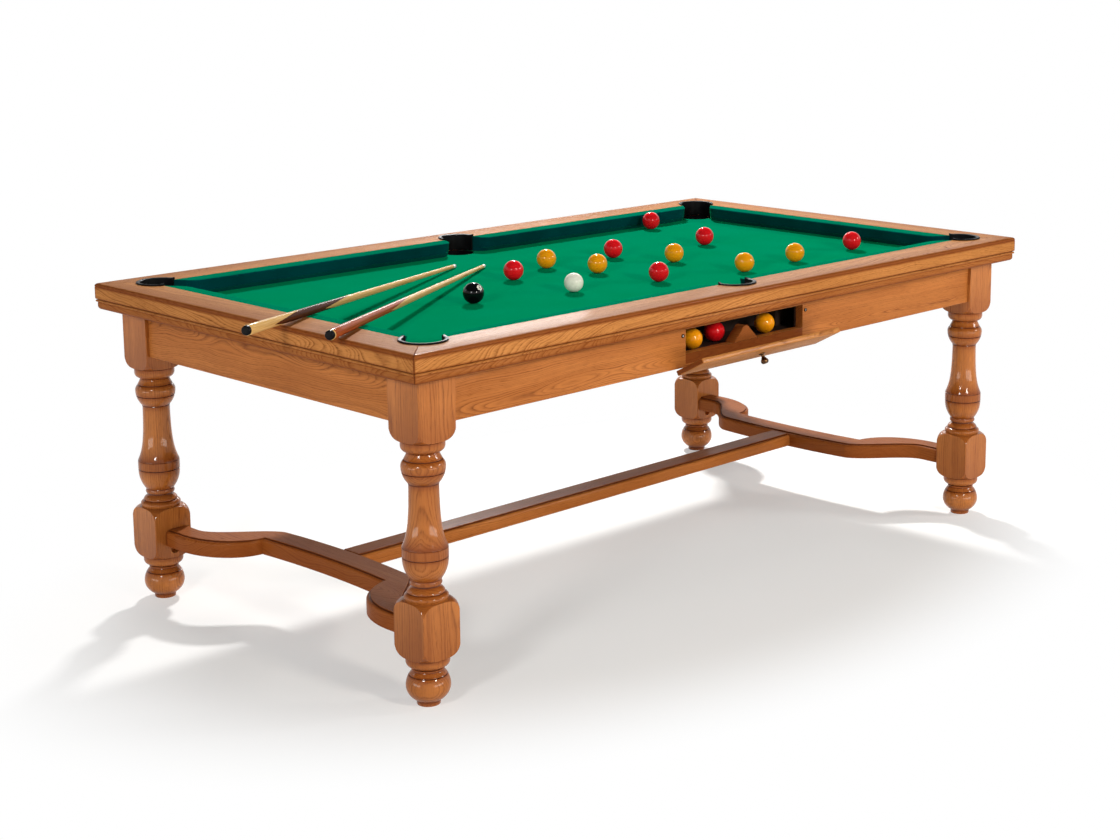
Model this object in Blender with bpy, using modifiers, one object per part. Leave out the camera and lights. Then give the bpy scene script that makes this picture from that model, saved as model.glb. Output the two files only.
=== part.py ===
"""Convertible billiard table with turned legs, ball return, balls and two cues.

Metres, +Z up. The origin is on the floor under the middle of the table, +X runs along its length,
and the long side with the ball-return flap faces -Y.
"""

import math

import bmesh
import bpy
from mathutils import Matrix, Vector

# Overall sizes
TABLE_LENGTH = 2.122
TABLE_WIDTH = 1.198
TABLE_HEIGHT = 0.783
FIT_GAP = 0.0003  # left between pieces that touch

# Rails: a mitred frame with a round-over, a groove between two bands, and a lip outside the slate
RAIL_WIDTH = 0.095
RAIL_HEIGHT = 0.064
RAIL_LIP = 0.042
RAIL_ROUND = 0.010
LOWER_BAND_HEIGHT = 0.022
LOWER_BAND_SETBACK = 0.004
LOWER_BAND_ROUND = 0.008
GROOVE_HEIGHT = 0.0025
GROOVE_DEPTH = 0.004

# Bed: slate on the frame, cloth on the slate
BED_DEPTH = 0.041
CLOTH_THICKNESS = 0.001

# Cushions
CUSHION_WIDTH = 0.043
CUSHION_DROP = 0.0015  # nose below the rail top
CUSHION_NOSE_HEIGHT = 0.014
CUSHION_NOSE_ROUND = 0.003
CUSHION_UNDERCUT = 0.012
CORNER_JAW_ANGLE = 38.0
MIDDLE_JAW_ANGLE = 18.0
JAW_ROUND = 0.024
JAW_CLEARANCE = 0.002  # cushion end to pocket liner

# Pockets and their rubber liners
POCKET_RADIUS = 0.044
CORNER_POCKET_INSET_X = 0.016  # pocket centre inside the cushion line of the end rail
CORNER_POCKET_INSET_Y = 0.010
MIDDLE_POCKET_INSET = -0.004
LINER_WALL = 0.004
LINER_RIM_WIDTH = 0.009
LINER_RIM_HEIGHT = 0.003
CORNER_LINER_ARC = 230.0
MIDDLE_LINER_ARC = 196.0

# Legs: turned from a square blank
LEG_SIDE = 0.100
LEG_INSET = 0.044  # rail edge to leg face
LEG_WALL = 0.026  # wood left round the ball drop in the leg's head
HEAD_BLOCK_HEIGHT = 0.1407  # down to where its shoulder ends in the spindle
FOOT_BLOCK_TOP = 0.233
FOOT_BLOCK_BOTTOM = 0.108
SHOULDER_HEIGHT = 0.028
BEAD_RADIUS = 0.0474  # beads and collars
NECK_RADIUS = 0.033  # waists between them
COLUMN_RADIUS = 0.0322
BAND_RADIUS = 0.0492  # band above the cup
RING_RADIUS = 0.040
BUN_RADIUS = 0.048
PAD_RADIUS = 0.0255

# Heights of the turned pieces: down from the head block, then up from the foot block, then the foot
COLLAR_FLAT = 0.011
COLLAR_ROUND = 0.014
NECK_GAP = 0.003
BEAD_HEIGHT = 0.064
COLUMN_GAP = 0.008
TORUS_HEIGHT = 0.016
RING_HEIGHT = 0.006
COVE_HEIGHT = 0.013
CUP_SEAT_HEIGHT = 0.010
CUP_HEIGHT = 0.048
BAND_HEIGHT = 0.022
FLARE_HEIGHT = 0.102
FOOT_NECK_HEIGHT = 0.006
PAD_HEIGHT = 0.010

# Aprons
APRON_HEIGHT = 0.105
APRON_THICKNESS = 0.022
APRON_RECESS = 0.009

# Stretchers, measured inward from the line through the leg centres
STRETCHER_TOP = 0.182
STRETCHER_THICKNESS = 0.040
STRETCHER_EDGE_ROUND = 0.007
STRETCHER_END_WIDTH = 0.066
STRETCHER_END_OFFSET = 0.011
STRETCHER_BOW = 0.151  # leg line to the middle of the bowed part
STRETCHER_MIDDLE_WIDTH = 0.080
STRETCHER_BOW_RISE = 0.011
STRETCHER_STUB = 0.0547  # straight part at the legs
STRETCHER_SWEEP = 0.168  # from the stub to the cusp
STRETCHER_EASE = 0.180  # length of the inner edge's turn
LONG_STRETCHER_WIDTH = 0.076
LONG_STRETCHER_DROP = 0.003

# Ball runs under the slate
BALL_DIAMETER = 0.0508
CUE_BALL_DIAMETER = 0.0476
TROUGH_WIDTH = 0.060
TROUGH_WALL = 0.006
TROUGH_HEADROOM = 0.0167  # rim of the runs below the frame's top
CORNER_DROP = 0.0567  # run floors below the frame's top, at the corners
CHUTE_HIGH_DROP = 0.0687
CHUTE_LOW_DROP = 0.0777
TRAY_DROP = 0.0807
TRAY_DEPTH = 0.118
TRAY_BALL_CLEARANCE = 0.0036  # front balls to the apron's inner face
BEARER_WIDTH = 0.040
BEARER_HEIGHT = 0.080
BEARER_SPREAD = 0.220

# Ball-return opening and its flap
OPENING_LENGTH = 0.424
OPENING_LIP = 0.008  # lip above the tray's floor
OPENING_HEIGHT = 0.058
FLAP_LENGTH = 0.500
FLAP_HEIGHT = 0.092
FLAP_THICKNESS = 0.0125
FLAP_ROUND = 0.004
FLAP_GAP = 0.0025
FLAP_OPEN_ANGLE = 62.0
DIVIDER_BASE = 0.086
DIVIDER_HEIGHT = 0.037
DIVIDER_TOP_RADIUS = 0.016
DIVIDER_DEPTH = 0.028
HINGE_LENGTH = 0.050
HINGE_SPACING = 0.320
HINGE_BARREL_RADIUS = 0.0022
HINGE_LEAF_WIDTH = 0.018
HINGE_LEAF_THICKNESS = 0.0014
CATCH_RADIUS = 0.0045
CATCH_PROUD = 0.002
CATCH_INSET = 0.010  # beside the opening
CATCH_HEIGHT = 0.014  # below the top of the opening
KNOB_RADIUS = 0.0095
KNOB_LENGTH = 0.026
KNOB_HEAD_HEIGHT = 0.0057  # widest part below the knob's end
KNOB_STEM_RADIUS = 0.0043
KNOB_STEM_LENGTH = 0.011
KNOB_BASE_RADIUS = 0.0076
KNOB_BASE_HEIGHT = 0.0026

# Cues
CUE_LENGTH = 1.200
CUE_BUTT_RADIUS = 0.0115
CUE_TIP_RADIUS = 0.0048
CUE_END_ROUND = 0.0012

# Roundness
LEG_STEPS = 16
POCKET_STEPS = 28
BALL_SEGMENTS = 12
BALL_RINGS = 8
CUE_STEPS = 12
SMALL_STEPS = 12
SMOOTH_ANGLE = 40.0
CUT_MARGIN = 0.01  # how far a cutter reaches past what it cuts

# Levels and lines that follow from the sizes above
RAIL_BOTTOM = TABLE_HEIGHT - RAIL_HEIGHT
BED_Z = TABLE_HEIGHT - BED_DEPTH
FRAME_TOP = RAIL_BOTTOM - FIT_GAP
HALF_LENGTH = TABLE_LENGTH / 2
HALF_WIDTH = TABLE_WIDTH / 2
CUSHION_LINE_X = HALF_LENGTH - RAIL_WIDTH
CUSHION_LINE_Y = HALF_WIDTH - RAIL_WIDTH
HEAD_SHOULDER_Z = FRAME_TOP - HEAD_BLOCK_HEIGHT
LEG_X = HALF_LENGTH - LEG_INSET - LEG_SIDE / 2
LEG_Y = HALF_WIDTH - LEG_INSET - LEG_SIDE / 2
APRON_FACE_X = LEG_X + LEG_SIDE / 2 - APRON_RECESS
APRON_FACE_Y = LEG_Y + LEG_SIDE / 2 - APRON_RECESS
APRON_BOTTOM = FRAME_TOP - APRON_HEIGHT
STRETCHER_END = LEG_Y - LEG_SIDE / 2 - FIT_GAP
SLATE_X = HALF_LENGTH - RAIL_LIP - FIT_GAP
SLATE_Y = HALF_WIDTH - RAIL_LIP - FIT_GAP
LINER_RADIUS = POCKET_RADIUS + LINER_WALL
RIM_RADIUS = POCKET_RADIUS + LINER_RIM_WIDTH
CORNER_X = CUSHION_LINE_X - CORNER_POCKET_INSET_X
CORNER_Y = CUSHION_LINE_Y - CORNER_POCKET_INSET_Y
MIDDLE_Y = CUSHION_LINE_Y - MIDDLE_POCKET_INSET
PLAY_X = CUSHION_LINE_X - CUSHION_WIDTH
PLAY_Y = CUSHION_LINE_Y - CUSHION_WIDTH
TROUGH_TOP = FRAME_TOP - TROUGH_HEADROOM
TROUGH_HIGH = FRAME_TOP - CORNER_DROP
CHUTE_HIGH = FRAME_TOP - CHUTE_HIGH_DROP
CHUTE_LOW = FRAME_TOP - CHUTE_LOW_DROP
TRAY_FLOOR = FRAME_TOP - TRAY_DROP
OPENING_BOTTOM = TRAY_FLOOR + OPENING_LIP
OPENING_TOP = OPENING_BOTTOM + OPENING_HEIGHT
TROUGH_OUTER = APRON_FACE_Y - APRON_THICKNESS - FIT_GAP
TROUGH_INNER = TROUGH_OUTER - TROUGH_WIDTH - 2 * TROUGH_WALL
TROUGH_END = LEG_X - LEG_SIDE / 2 - FIT_GAP
HINGE_Z = APRON_BOTTOM - HINGE_BARREL_RADIUS - FIT_GAP
HINGE_Y = -(APRON_FACE_Y + FLAP_GAP / 2)

# Colour, roughness and metallic value of each finish
FINISHES = {
    "oak": ((0.45, 0.20, 0.07), 0.32, 0.0),
    "dark_oak": ((0.22, 0.10, 0.04), 0.50, 0.0),
    "slate": ((0.10, 0.11, 0.12), 0.70, 0.0),
    "green_cloth": ((0.0, 0.27, 0.11), 0.90, 0.0),
    "black_rubber": ((0.012, 0.012, 0.014), 0.45, 0.0),
    "plywood": ((0.30, 0.19, 0.10), 0.60, 0.0),
    "bronze": ((0.16, 0.09, 0.05), 0.35, 1.0),
    "red_ball": ((0.58, 0.01, 0.012), 0.10, 0.0),
    "yellow_ball": ((0.91, 0.33, 0.005), 0.10, 0.0),
    "black_ball": ((0.01, 0.01, 0.01), 0.10, 0.0),
    "white_ball": ((0.83, 0.83, 0.72), 0.10, 0.0),
    "maple": ((0.61, 0.38, 0.13), 0.30, 0.0),
    "mahogany": ((0.40, 0.09, 0.03), 0.30, 0.0),
}

# Balls on the cloth: name, finish, place as a share of the way from the bed's middle to the cushions
BED_BALLS = [
    ("ball_red_1", "red_ball", (0.733, 0.917)),
    ("ball_red_2", "red_ball", (0.610, 0.226)),
    ("ball_red_3", "red_ball", (0.248, 0.289)),
    ("ball_red_4", "red_ball", (0.050, -0.461)),
    ("ball_red_5", "red_ball", (-0.205, 0.154)),
    ("ball_red_6", "red_ball", (0.846, -0.541)),
    ("ball_yellow_1", "yellow_ball", (-0.011, 0.306)),
    ("ball_yellow_2", "yellow_ball", (0.031, -0.022)),
    ("ball_yellow_3", "yellow_ball", (0.314, -0.078)),
    ("ball_yellow_4", "yellow_ball", (0.330, -0.591)),
    ("ball_yellow_5", "yellow_ball", (0.559, -0.576)),
    ("ball_black", "black_ball", (-0.510, -0.215)),
]
CUE_BALL_PLACE = (-0.218, -0.350)

# Balls in the tray: name, finish, place along the table, place behind the front row
TRAY_BALLS = [
    ("ball_yellow_6", "yellow_ball", -0.136, 0.0),
    ("ball_red_7", "red_ball", -0.034, 0.021),
    ("ball_yellow_7", "yellow_ball", 0.126, 0.0),
]

# Cues: name, finish, butt past the end rail, butt beside the middle line, heading in degrees from +X
CUES = [
    ("cue_maple", "maple", 0.157, -0.252, 28.7),
    ("cue_mahogany", "mahogany", 0.051, -0.392, 33.5),
]


def clear_scene():
    for old in list(bpy.data.objects):
        bpy.data.objects.remove(old, do_unlink=True)
    collection = bpy.data.collections.new("billiard_table")
    bpy.context.scene.collection.children.link(collection)
    return collection


def make_materials():
    materials = {}
    for name, (colour, roughness, metallic) in FINISHES.items():
        material = bpy.data.materials.new(name)
        material.use_nodes = True
        shader = material.node_tree.nodes["Principled BSDF"]
        shader.inputs["Base Color"].default_value = (*colour, 1.0)
        shader.inputs["Roughness"].default_value = roughness
        shader.inputs["Metallic"].default_value = metallic
        materials[name] = material
    return materials


COLLECTION = clear_scene()
MATERIALS = make_materials()


def add_part(name, mesh, finish, parent=None, location=(0, 0, 0), turn=0.0):
    """Puts a mesh in the table's collection as one named piece, turned about Z."""
    mesh.name = name
    mesh.materials.clear()
    mesh.materials.append(MATERIALS[finish])
    mesh.shade_smooth()
    mesh.set_sharp_from_angle(angle=math.radians(SMOOTH_ANGLE))
    piece = bpy.data.objects.new(name, mesh)
    piece.location = location
    piece.rotation_euler = (0, 0, turn)
    piece.parent = parent
    COLLECTION.objects.link(piece)
    return piece


def baked(piece):
    """The mesh of a working object with its modifiers applied. The object is removed."""
    bpy.context.view_layer.update()
    graph = bpy.context.evaluated_depsgraph_get()
    mesh = bpy.data.meshes.new_from_object(piece.evaluated_get(graph))
    bpy.data.objects.remove(piece, do_unlink=True)
    return mesh


def edited(mesh, work):
    """Runs one bmesh job on a mesh, welds it and turns its faces outward."""
    bm = bmesh.new()
    bm.from_mesh(mesh)
    work(bm)
    bmesh.ops.remove_doubles(bm, verts=bm.verts, dist=1e-6)
    bmesh.ops.recalc_face_normals(bm, faces=bm.faces)
    bm.to_mesh(mesh)
    bm.free()
    return mesh


def working(mesh):
    piece = bpy.data.objects.new("working", mesh)
    bpy.context.scene.collection.objects.link(piece)
    return piece


def combined(base, tool, operation):
    """Boolean of two closed meshes that share a frame."""
    piece = working(base)
    other = working(tool)
    modifier = piece.modifiers.new("join", "BOOLEAN")
    modifier.operation = operation
    modifier.solver = "EXACT"
    modifier.object = other
    mesh = baked(piece)
    bpy.data.objects.remove(other, do_unlink=True)
    return edited(mesh, lambda bm: None)


def box(low, high):
    mesh = bpy.data.meshes.new("box")
    size = [b - a for a, b in zip(low, high)]
    middle = [(a + b) / 2 for a, b in zip(low, high)]
    matrix = Matrix.Translation(middle) @ Matrix.Diagonal((*size, 1))
    return edited(mesh, lambda bm: bmesh.ops.create_cube(bm, size=1, matrix=matrix))


def cylinder(centre, radius, low, high, segments=POCKET_STEPS):
    mesh = bpy.data.meshes.new("cylinder")
    sizes = {"radius1": radius, "radius2": radius, "depth": high - low}
    matrix = Matrix.Translation((*centre, (low + high) / 2))
    return edited(
        mesh,
        lambda bm: bmesh.ops.create_cone(bm, cap_ends=True, segments=segments, matrix=matrix, **sizes),
    )


def prism(outline, low, high):
    """A flat outline in XY, raised from z = low to z = high."""
    curve = bpy.data.curves.new("outline", "CURVE")
    curve.dimensions = "2D"
    curve.fill_mode = "BOTH"
    curve.extrude = (high - low) / 2
    spline = curve.splines.new("POLY")
    spline.points.add(len(outline) - 1)
    for point, (x, y) in zip(spline.points, outline):
        point.co = (x, y, 0, 1)
    spline.use_cyclic_u = True
    mesh = baked(working(curve))
    bpy.data.curves.remove(curve)
    lift = Matrix.Translation((0, 0, (low + high) / 2))
    return edited(mesh, lambda bm: bm.transform(lift))


def mapped(mesh, rule):
    """Moves every point of a mesh by a rule on its coordinates."""

    def move(bm):
        for vertex in bm.verts:
            vertex.co = rule(*vertex.co)

    return edited(mesh, move)


def turned(profile, steps):
    """A closed turning about Z. The profile is (radius, z) from the top of the axis to the bottom."""
    mesh = bpy.data.meshes.new("profile")
    points = [(radius, 0, z) for radius, z in profile]
    mesh.from_pydata(points, [(i, i + 1) for i in range(len(points) - 1)], [])
    piece = working(mesh)
    screw = piece.modifiers.new("turn", "SCREW")
    screw.steps = steps
    screw.render_steps = steps
    screw.use_merge_vertices = True
    screw.merge_threshold = 0.00001
    return edited(baked(piece), lambda bm: None)


def arc(centre, radius, start, end, count):
    """Points on a circle between two angles in degrees, both ends included."""
    points = []
    for i in range(count + 1):
        angle = math.radians(start + (end - start) * i / count)
        points.append((centre[0] + radius * math.cos(angle), centre[1] + radius * math.sin(angle)))
    return points


def bead(top, bottom, widest, narrow, count=6):
    """Profile of a rounded bead between two heights, from one waist to the next."""
    middle = (top + bottom) / 2
    half = (top - bottom) / 2
    start = math.asin(narrow / widest) if narrow < widest else math.pi / 2
    points = []
    for i in range(count + 1):
        angle = start + (math.pi - 2 * start) * i / count
        points.append((widest * math.sin(angle), middle + half * math.cos(angle) / math.cos(start)))
    return points


# Legs


def shoulder(z_block, z_spindle):
    """Quarter-ellipse that a turner cuts where the square block meets the spindle."""
    corner = LEG_SIDE * math.sqrt(0.5) + FIT_GAP
    points = []
    for i in range(7):
        angle = math.radians(90 * i / 6)
        radius = BEAD_RADIUS + (corner - BEAD_RADIUS) * math.cos(angle)
        points.append((radius, z_block + (z_spindle - z_block) * math.sin(angle)))
    return points


def collar(top):
    """Ring that closes a shoulder and rounds into the neck below it."""
    return arc((BEAD_RADIUS - COLLAR_ROUND, top - COLLAR_FLAT), COLLAR_ROUND, 0, -80, 3)


def spindle_profile():
    """Turned outline between the two blocks, from the top down."""
    bead_top = HEAD_SHOULDER_Z - COLLAR_FLAT - COLLAR_ROUND - NECK_GAP
    column_top = bead_top - BEAD_HEIGHT - COLUMN_GAP
    ring_low = FOOT_BLOCK_TOP + TORUS_HEIGHT
    ring_high = ring_low + RING_HEIGHT
    seat_low = ring_high + COVE_HEIGHT
    seat_high = seat_low + CUP_SEAT_HEIGHT
    band_low = seat_high + CUP_HEIGHT
    band_high = band_low + BAND_HEIGHT
    profile = collar(HEAD_SHOULDER_Z)
    profile += bead(bead_top, bead_top - BEAD_HEIGHT, BEAD_RADIUS, NECK_RADIUS, 8)
    profile.append((COLUMN_RADIUS, column_top))
    for i in range(7):
        share = (1 - i / 6) ** 1.5
        radius = COLUMN_RADIUS + (BAND_RADIUS - COLUMN_RADIUS) * (1 - share) ** 2.3
        profile.append((radius, band_high + FLARE_HEIGHT * share))
    for i in range(6):
        share = i / 5
        radius = NECK_RADIUS + (BAND_RADIUS - NECK_RADIUS) * (1 - share**2)
        profile.append((radius, band_low - CUP_HEIGHT * share))
    cove_radius = NECK_RADIUS - NECK_GAP
    profile += [(NECK_RADIUS, seat_low), (cove_radius, (seat_low + ring_high) / 2)]
    profile += [(RING_RADIUS, ring_high), (RING_RADIUS, ring_low)]
    return profile + bead(ring_low, FOOT_BLOCK_TOP, BEAD_RADIUS, RING_RADIUS, 4)


def leg_profile():
    """Turned outline of a leg from its head to the floor, beyond the blank's corners at the blocks."""
    head_block = HEAD_SHOULDER_Z + SHOULDER_HEIGHT
    foot_high = FOOT_BLOCK_TOP - SHOULDER_HEIGHT
    foot_low = FOOT_BLOCK_BOTTOM + SHOULDER_HEIGHT
    bun_top = FOOT_BLOCK_BOTTOM - COLLAR_FLAT - COLLAR_ROUND - FOOT_NECK_HEIGHT
    profile = [(0, FRAME_TOP), (LEG_SIDE, FRAME_TOP), (LEG_SIDE, head_block)]
    profile += shoulder(head_block, HEAD_SHOULDER_Z)
    profile += spindle_profile()
    profile += reversed(shoulder(foot_high, FOOT_BLOCK_TOP))
    profile += [(LEG_SIDE, foot_high), (LEG_SIDE, foot_low)]
    profile += shoulder(foot_low, FOOT_BLOCK_BOTTOM)
    profile += collar(FOOT_BLOCK_BOTTOM)
    profile.append((NECK_RADIUS, bun_top))
    profile += bead(bun_top - NECK_GAP, PAD_HEIGHT, BUN_RADIUS, PAD_RADIUS, 8)
    return profile + [(PAD_RADIUS, 0), (0, 0)]


def leg_mesh():
    """Turned outline held to a square blank, with the head cut away where the balls drop."""
    half = LEG_SIDE / 2
    blank = box((-half, -half, 0), (half, half, FRAME_TOP))
    mesh = combined(turned(leg_profile(), LEG_STEPS), blank, "INTERSECT")
    reach = half - LEG_WALL
    past = half + CUT_MARGIN
    drop = box((-past, -past, TROUGH_HIGH), (reach, reach, FRAME_TOP + CUT_MARGIN))
    return combined(mesh, drop, "DIFFERENCE")


def add_legs():
    mesh = leg_mesh()
    for name, side_x, side_y, turn in (
        ("back_right", 1, 1, 0),
        ("back_left", -1, 1, 90),
        ("front_left", -1, -1, 180),
        ("front_right", 1, -1, 270),
    ):
        place = (side_x * LEG_X, side_y * LEG_Y, 0)
        add_part(f"leg_{name}", mesh.copy(), "oak", None, place, math.radians(turn))


# Aprons and slate bearers


def add_aprons():
    long_half = LEG_X - LEG_SIDE / 2 - FIT_GAP
    short_half = LEG_Y - LEG_SIDE / 2 - FIT_GAP
    inner_y = APRON_FACE_Y - APRON_THICKNESS
    inner_x = APRON_FACE_X - APRON_THICKNESS
    back = box((-long_half, inner_y, APRON_BOTTOM), (long_half, APRON_FACE_Y, FRAME_TOP))
    front = box((-long_half, -APRON_FACE_Y, APRON_BOTTOM), (long_half, -inner_y, FRAME_TOP))
    opening = box(
        (-OPENING_LENGTH / 2, -APRON_FACE_Y - CUT_MARGIN, OPENING_BOTTOM),
        (OPENING_LENGTH / 2, -inner_y + CUT_MARGIN, OPENING_TOP),
    )
    add_part("apron_back", back, "oak")
    add_part("apron_front", combined(front, opening, "DIFFERENCE"), "oak")
    for name, side in (("left", -1), ("right", 1)):
        low, high = sorted((side * inner_x, side * APRON_FACE_X))
        end = box((low, -short_half, APRON_BOTTOM), (high, short_half, FRAME_TOP))
        add_part(f"apron_{name}", end, "oak")


def add_bearers():
    """Two long beams under the slate, notched over the chute that crosses below them."""
    half = APRON_FACE_X - APRON_THICKNESS - FIT_GAP
    chute_half = TROUGH_WIDTH / 2 + TROUGH_WALL + FIT_GAP
    for name, side in (("front", -1), ("back", 1)):
        low = side * BEARER_SPREAD - BEARER_WIDTH / 2
        high = side * BEARER_SPREAD + BEARER_WIDTH / 2
        bottom = FRAME_TOP - BEARER_HEIGHT
        beam = box((-half, low, bottom), (half, high, FRAME_TOP))
        notch = box(
            (-chute_half, low - CUT_MARGIN, bottom - CUT_MARGIN),
            (chute_half, high + CUT_MARGIN, TROUGH_TOP + FIT_GAP),
        )
        add_part(f"slate_bearer_{name}", combined(beam, notch, "DIFFERENCE"), "dark_oak")


# Stretchers


def rounded_top(mesh, top, axis, end):
    """Rounds the upper rim of a prism, except at its two ends along an axis."""

    def at_end(edge):
        return all(abs(abs(v.co[axis]) - end) < 1e-5 for v in edge.verts)

    def work(bm):
        rim = [e for e in bm.edges if all(abs(v.co.z - top) < 1e-5 for v in e.verts) and not at_end(e)]
        rim = [e for e in rim if abs(e.link_faces[0].normal.z - e.link_faces[1].normal.z) > 0.5]
        bmesh.ops.bevel(bm, geom=rim, offset=STRETCHER_EDGE_ROUND, segments=2, profile=0.5, affect="EDGES")

    return edited(mesh, work)


def stretcher_outline():
    """Plan of the left end stretcher: ends on the legs, bowed toward the table's middle with a cusp."""
    line = -LEG_X
    end_out = line + STRETCHER_END_OFFSET - STRETCHER_END_WIDTH / 2
    end_in = line + STRETCHER_END_OFFSET + STRETCHER_END_WIDTH / 2
    bow_out = line + STRETCHER_BOW - STRETCHER_MIDDLE_WIDTH / 2
    bow_in = line + STRETCHER_BOW + STRETCHER_MIDDLE_WIDTH / 2
    cusp_x = bow_out - STRETCHER_BOW_RISE
    sweep_y = STRETCHER_END - STRETCHER_STUB
    cusp_y = sweep_y - STRETCHER_SWEEP
    outer = [(end_out, STRETCHER_END)]
    for i in range(9):
        angle = math.radians(90 * i / 8)
        x = cusp_x - (cusp_x - end_out) * math.cos(angle)
        outer.append((x, sweep_y - STRETCHER_SWEEP * math.sin(angle)))
    for i in range(1, 6):
        share = 1 - i / 5
        outer.append((bow_out - STRETCHER_BOW_RISE * share**2, cusp_y * share))
    ease_end = sweep_y - STRETCHER_EASE
    inner = [(end_in, STRETCHER_END)]
    for i in range(11):
        share = i / 10
        blend = share * share * (3 - 2 * share)
        x = end_in + (bow_in - STRETCHER_BOW_RISE - end_in) * blend
        inner.append((x, sweep_y - STRETCHER_EASE * share))
    for i in range(1, 6):
        share = 1 - i / 5
        inner.append((bow_in - STRETCHER_BOW_RISE * share**2, ease_end * share))
    far = [(x, -y) for x, y in inner[:-1]]
    near = [(x, -y) for x, y in outer[:-1]]
    return outer + near[::-1] + far + inner[::-1]


def add_stretchers():
    bottom = STRETCHER_TOP - STRETCHER_THICKNESS
    end = prism(stretcher_outline(), bottom, STRETCHER_TOP)
    end = rounded_top(end, STRETCHER_TOP, 1, STRETCHER_END)
    add_part("end_stretcher_left", end.copy(), "oak")
    add_part("end_stretcher_right", end.copy(), "oak", turn=math.pi)
    reach = LEG_X - STRETCHER_BOW - STRETCHER_MIDDLE_WIDTH / 2 - FIT_GAP
    half = LONG_STRETCHER_WIDTH / 2
    top = STRETCHER_TOP - LONG_STRETCHER_DROP
    outline = [(-reach, -half), (reach, -half), (reach, half), (-reach, half)]
    long_bar = prism(outline, bottom + LONG_STRETCHER_DROP, top)
    add_part("long_stretcher", rounded_top(long_bar, top, 0, reach), "oak")


# Slate and cloth


def bed_outline(edge_x, edge_y, radius):
    """Plan of the bed: a rectangle with a round-bottomed cut for each pocket, open at the edge."""
    quarter = [(0, MIDDLE_Y - radius)] + arc((0, MIDDLE_Y), radius, -75, 0, 5) + [(radius, edge_y)]
    quarter += [(CORNER_X - radius, edge_y)] + arc((CORNER_X, CORNER_Y), radius, 180, 270, 7)
    quarter += [(edge_x, CORNER_Y - radius)]
    right = quarter + [(x, -y) for x, y in quarter[::-1]]
    left = [(-x, y) for x, y in right[1:-1]]
    return right + left[::-1]


def add_bed():
    slate_top = BED_Z - CLOTH_THICKNESS - FIT_GAP
    slate = prism(bed_outline(SLATE_X, SLATE_Y, POCKET_RADIUS), RAIL_BOTTOM, slate_top)
    cloth = prism(bed_outline(SLATE_X, SLATE_Y, POCKET_RADIUS), BED_Z - CLOTH_THICKNESS, BED_Z)
    add_part("slate_bed", slate, "slate")
    add_part("bed_cloth", cloth, "green_cloth")


# Rails


def rail_section():
    """Section of a rail as (distance in from the table's edge, height)."""
    top = TABLE_HEIGHT
    split = RAIL_BOTTOM + LOWER_BAND_HEIGHT
    inner = BED_Z + FIT_GAP
    section = arc((RAIL_ROUND, top - RAIL_ROUND), RAIL_ROUND, 90, 180, 3)
    section += [(0, split + GROOVE_HEIGHT), (GROOVE_DEPTH + LOWER_BAND_SETBACK, split + GROOVE_HEIGHT)]
    section += [(GROOVE_DEPTH + LOWER_BAND_SETBACK, split), (LOWER_BAND_SETBACK, split)]
    round_centre = (LOWER_BAND_SETBACK + LOWER_BAND_ROUND, RAIL_BOTTOM + LOWER_BAND_ROUND)
    section += arc(round_centre, LOWER_BAND_ROUND, 180, 270, 3)
    section += [(RAIL_LIP, RAIL_BOTTOM), (RAIL_LIP, inner), (RAIL_WIDTH, inner), (RAIL_WIDTH, top)]
    return section


def pocket_places():
    """Name, centre, outward direction in degrees and liner arc of each pocket."""
    return [
        ("middle_front", (0, -MIDDLE_Y), -90, MIDDLE_LINER_ARC),
        ("middle_back", (0, MIDDLE_Y), 90, MIDDLE_LINER_ARC),
        ("front_left", (-CORNER_X, -CORNER_Y), -135, CORNER_LINER_ARC),
        ("front_right", (CORNER_X, -CORNER_Y), -45, CORNER_LINER_ARC),
        ("back_right", (CORNER_X, CORNER_Y), 45, CORNER_LINER_ARC),
        ("back_left", (-CORNER_X, CORNER_Y), 135, CORNER_LINER_ARC),
    ]


def pocket_cut(centre):
    """Hole that a liner fills, through the part of the rail above the bed."""
    return cylinder(centre, LINER_RADIUS + FIT_GAP, BED_Z, TABLE_HEIGHT + CUT_MARGIN)


def add_rails():
    section = rail_section()
    mitre_gap = FIT_GAP / 2
    for name, half, edge, turn, pockets in (
        ("front", HALF_LENGTH, HALF_WIDTH, 0, ("front_left", "middle_front", "front_right")),
        ("right", HALF_WIDTH, HALF_LENGTH, 90, ("front_right", "back_right")),
        ("back", HALF_LENGTH, HALF_WIDTH, 180, ("back_right", "middle_back", "back_left")),
        ("left", HALF_WIDTH, HALF_LENGTH, 270, ("back_left", "front_left")),
    ):
        blank = prism(section, -half, half)
        ends = half - mitre_gap
        mesh = mapped(blank, lambda d, z, along: (math.copysign(ends - d, along), d - edge, z))
        spin = Matrix.Rotation(math.radians(turn), 4, "Z")
        mesh = edited(mesh, lambda bm: bm.transform(spin))
        for pocket, centre, _, _ in pocket_places():
            if pocket in pockets:
                mesh = combined(mesh, pocket_cut(centre), "DIFFERENCE")
        add_part(f"rail_{name}", mesh, "oak")


# Cushions


def cushion_section():
    """Section of a cushion as (distance in from the rail's wood, height)."""
    top = TABLE_HEIGHT - FIT_GAP
    base = BED_Z + FIT_GAP
    nose_top = TABLE_HEIGHT - CUSHION_DROP
    return [
        (FIT_GAP, base),
        (CUSHION_WIDTH - CUSHION_UNDERCUT, base),
        (CUSHION_WIDTH, nose_top - CUSHION_NOSE_HEIGHT),
        (CUSHION_WIDTH, nose_top - CUSHION_NOSE_ROUND),
        (CUSHION_WIDTH - CUSHION_NOSE_ROUND, nose_top),
        (FIT_GAP, top),
    ]


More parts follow.
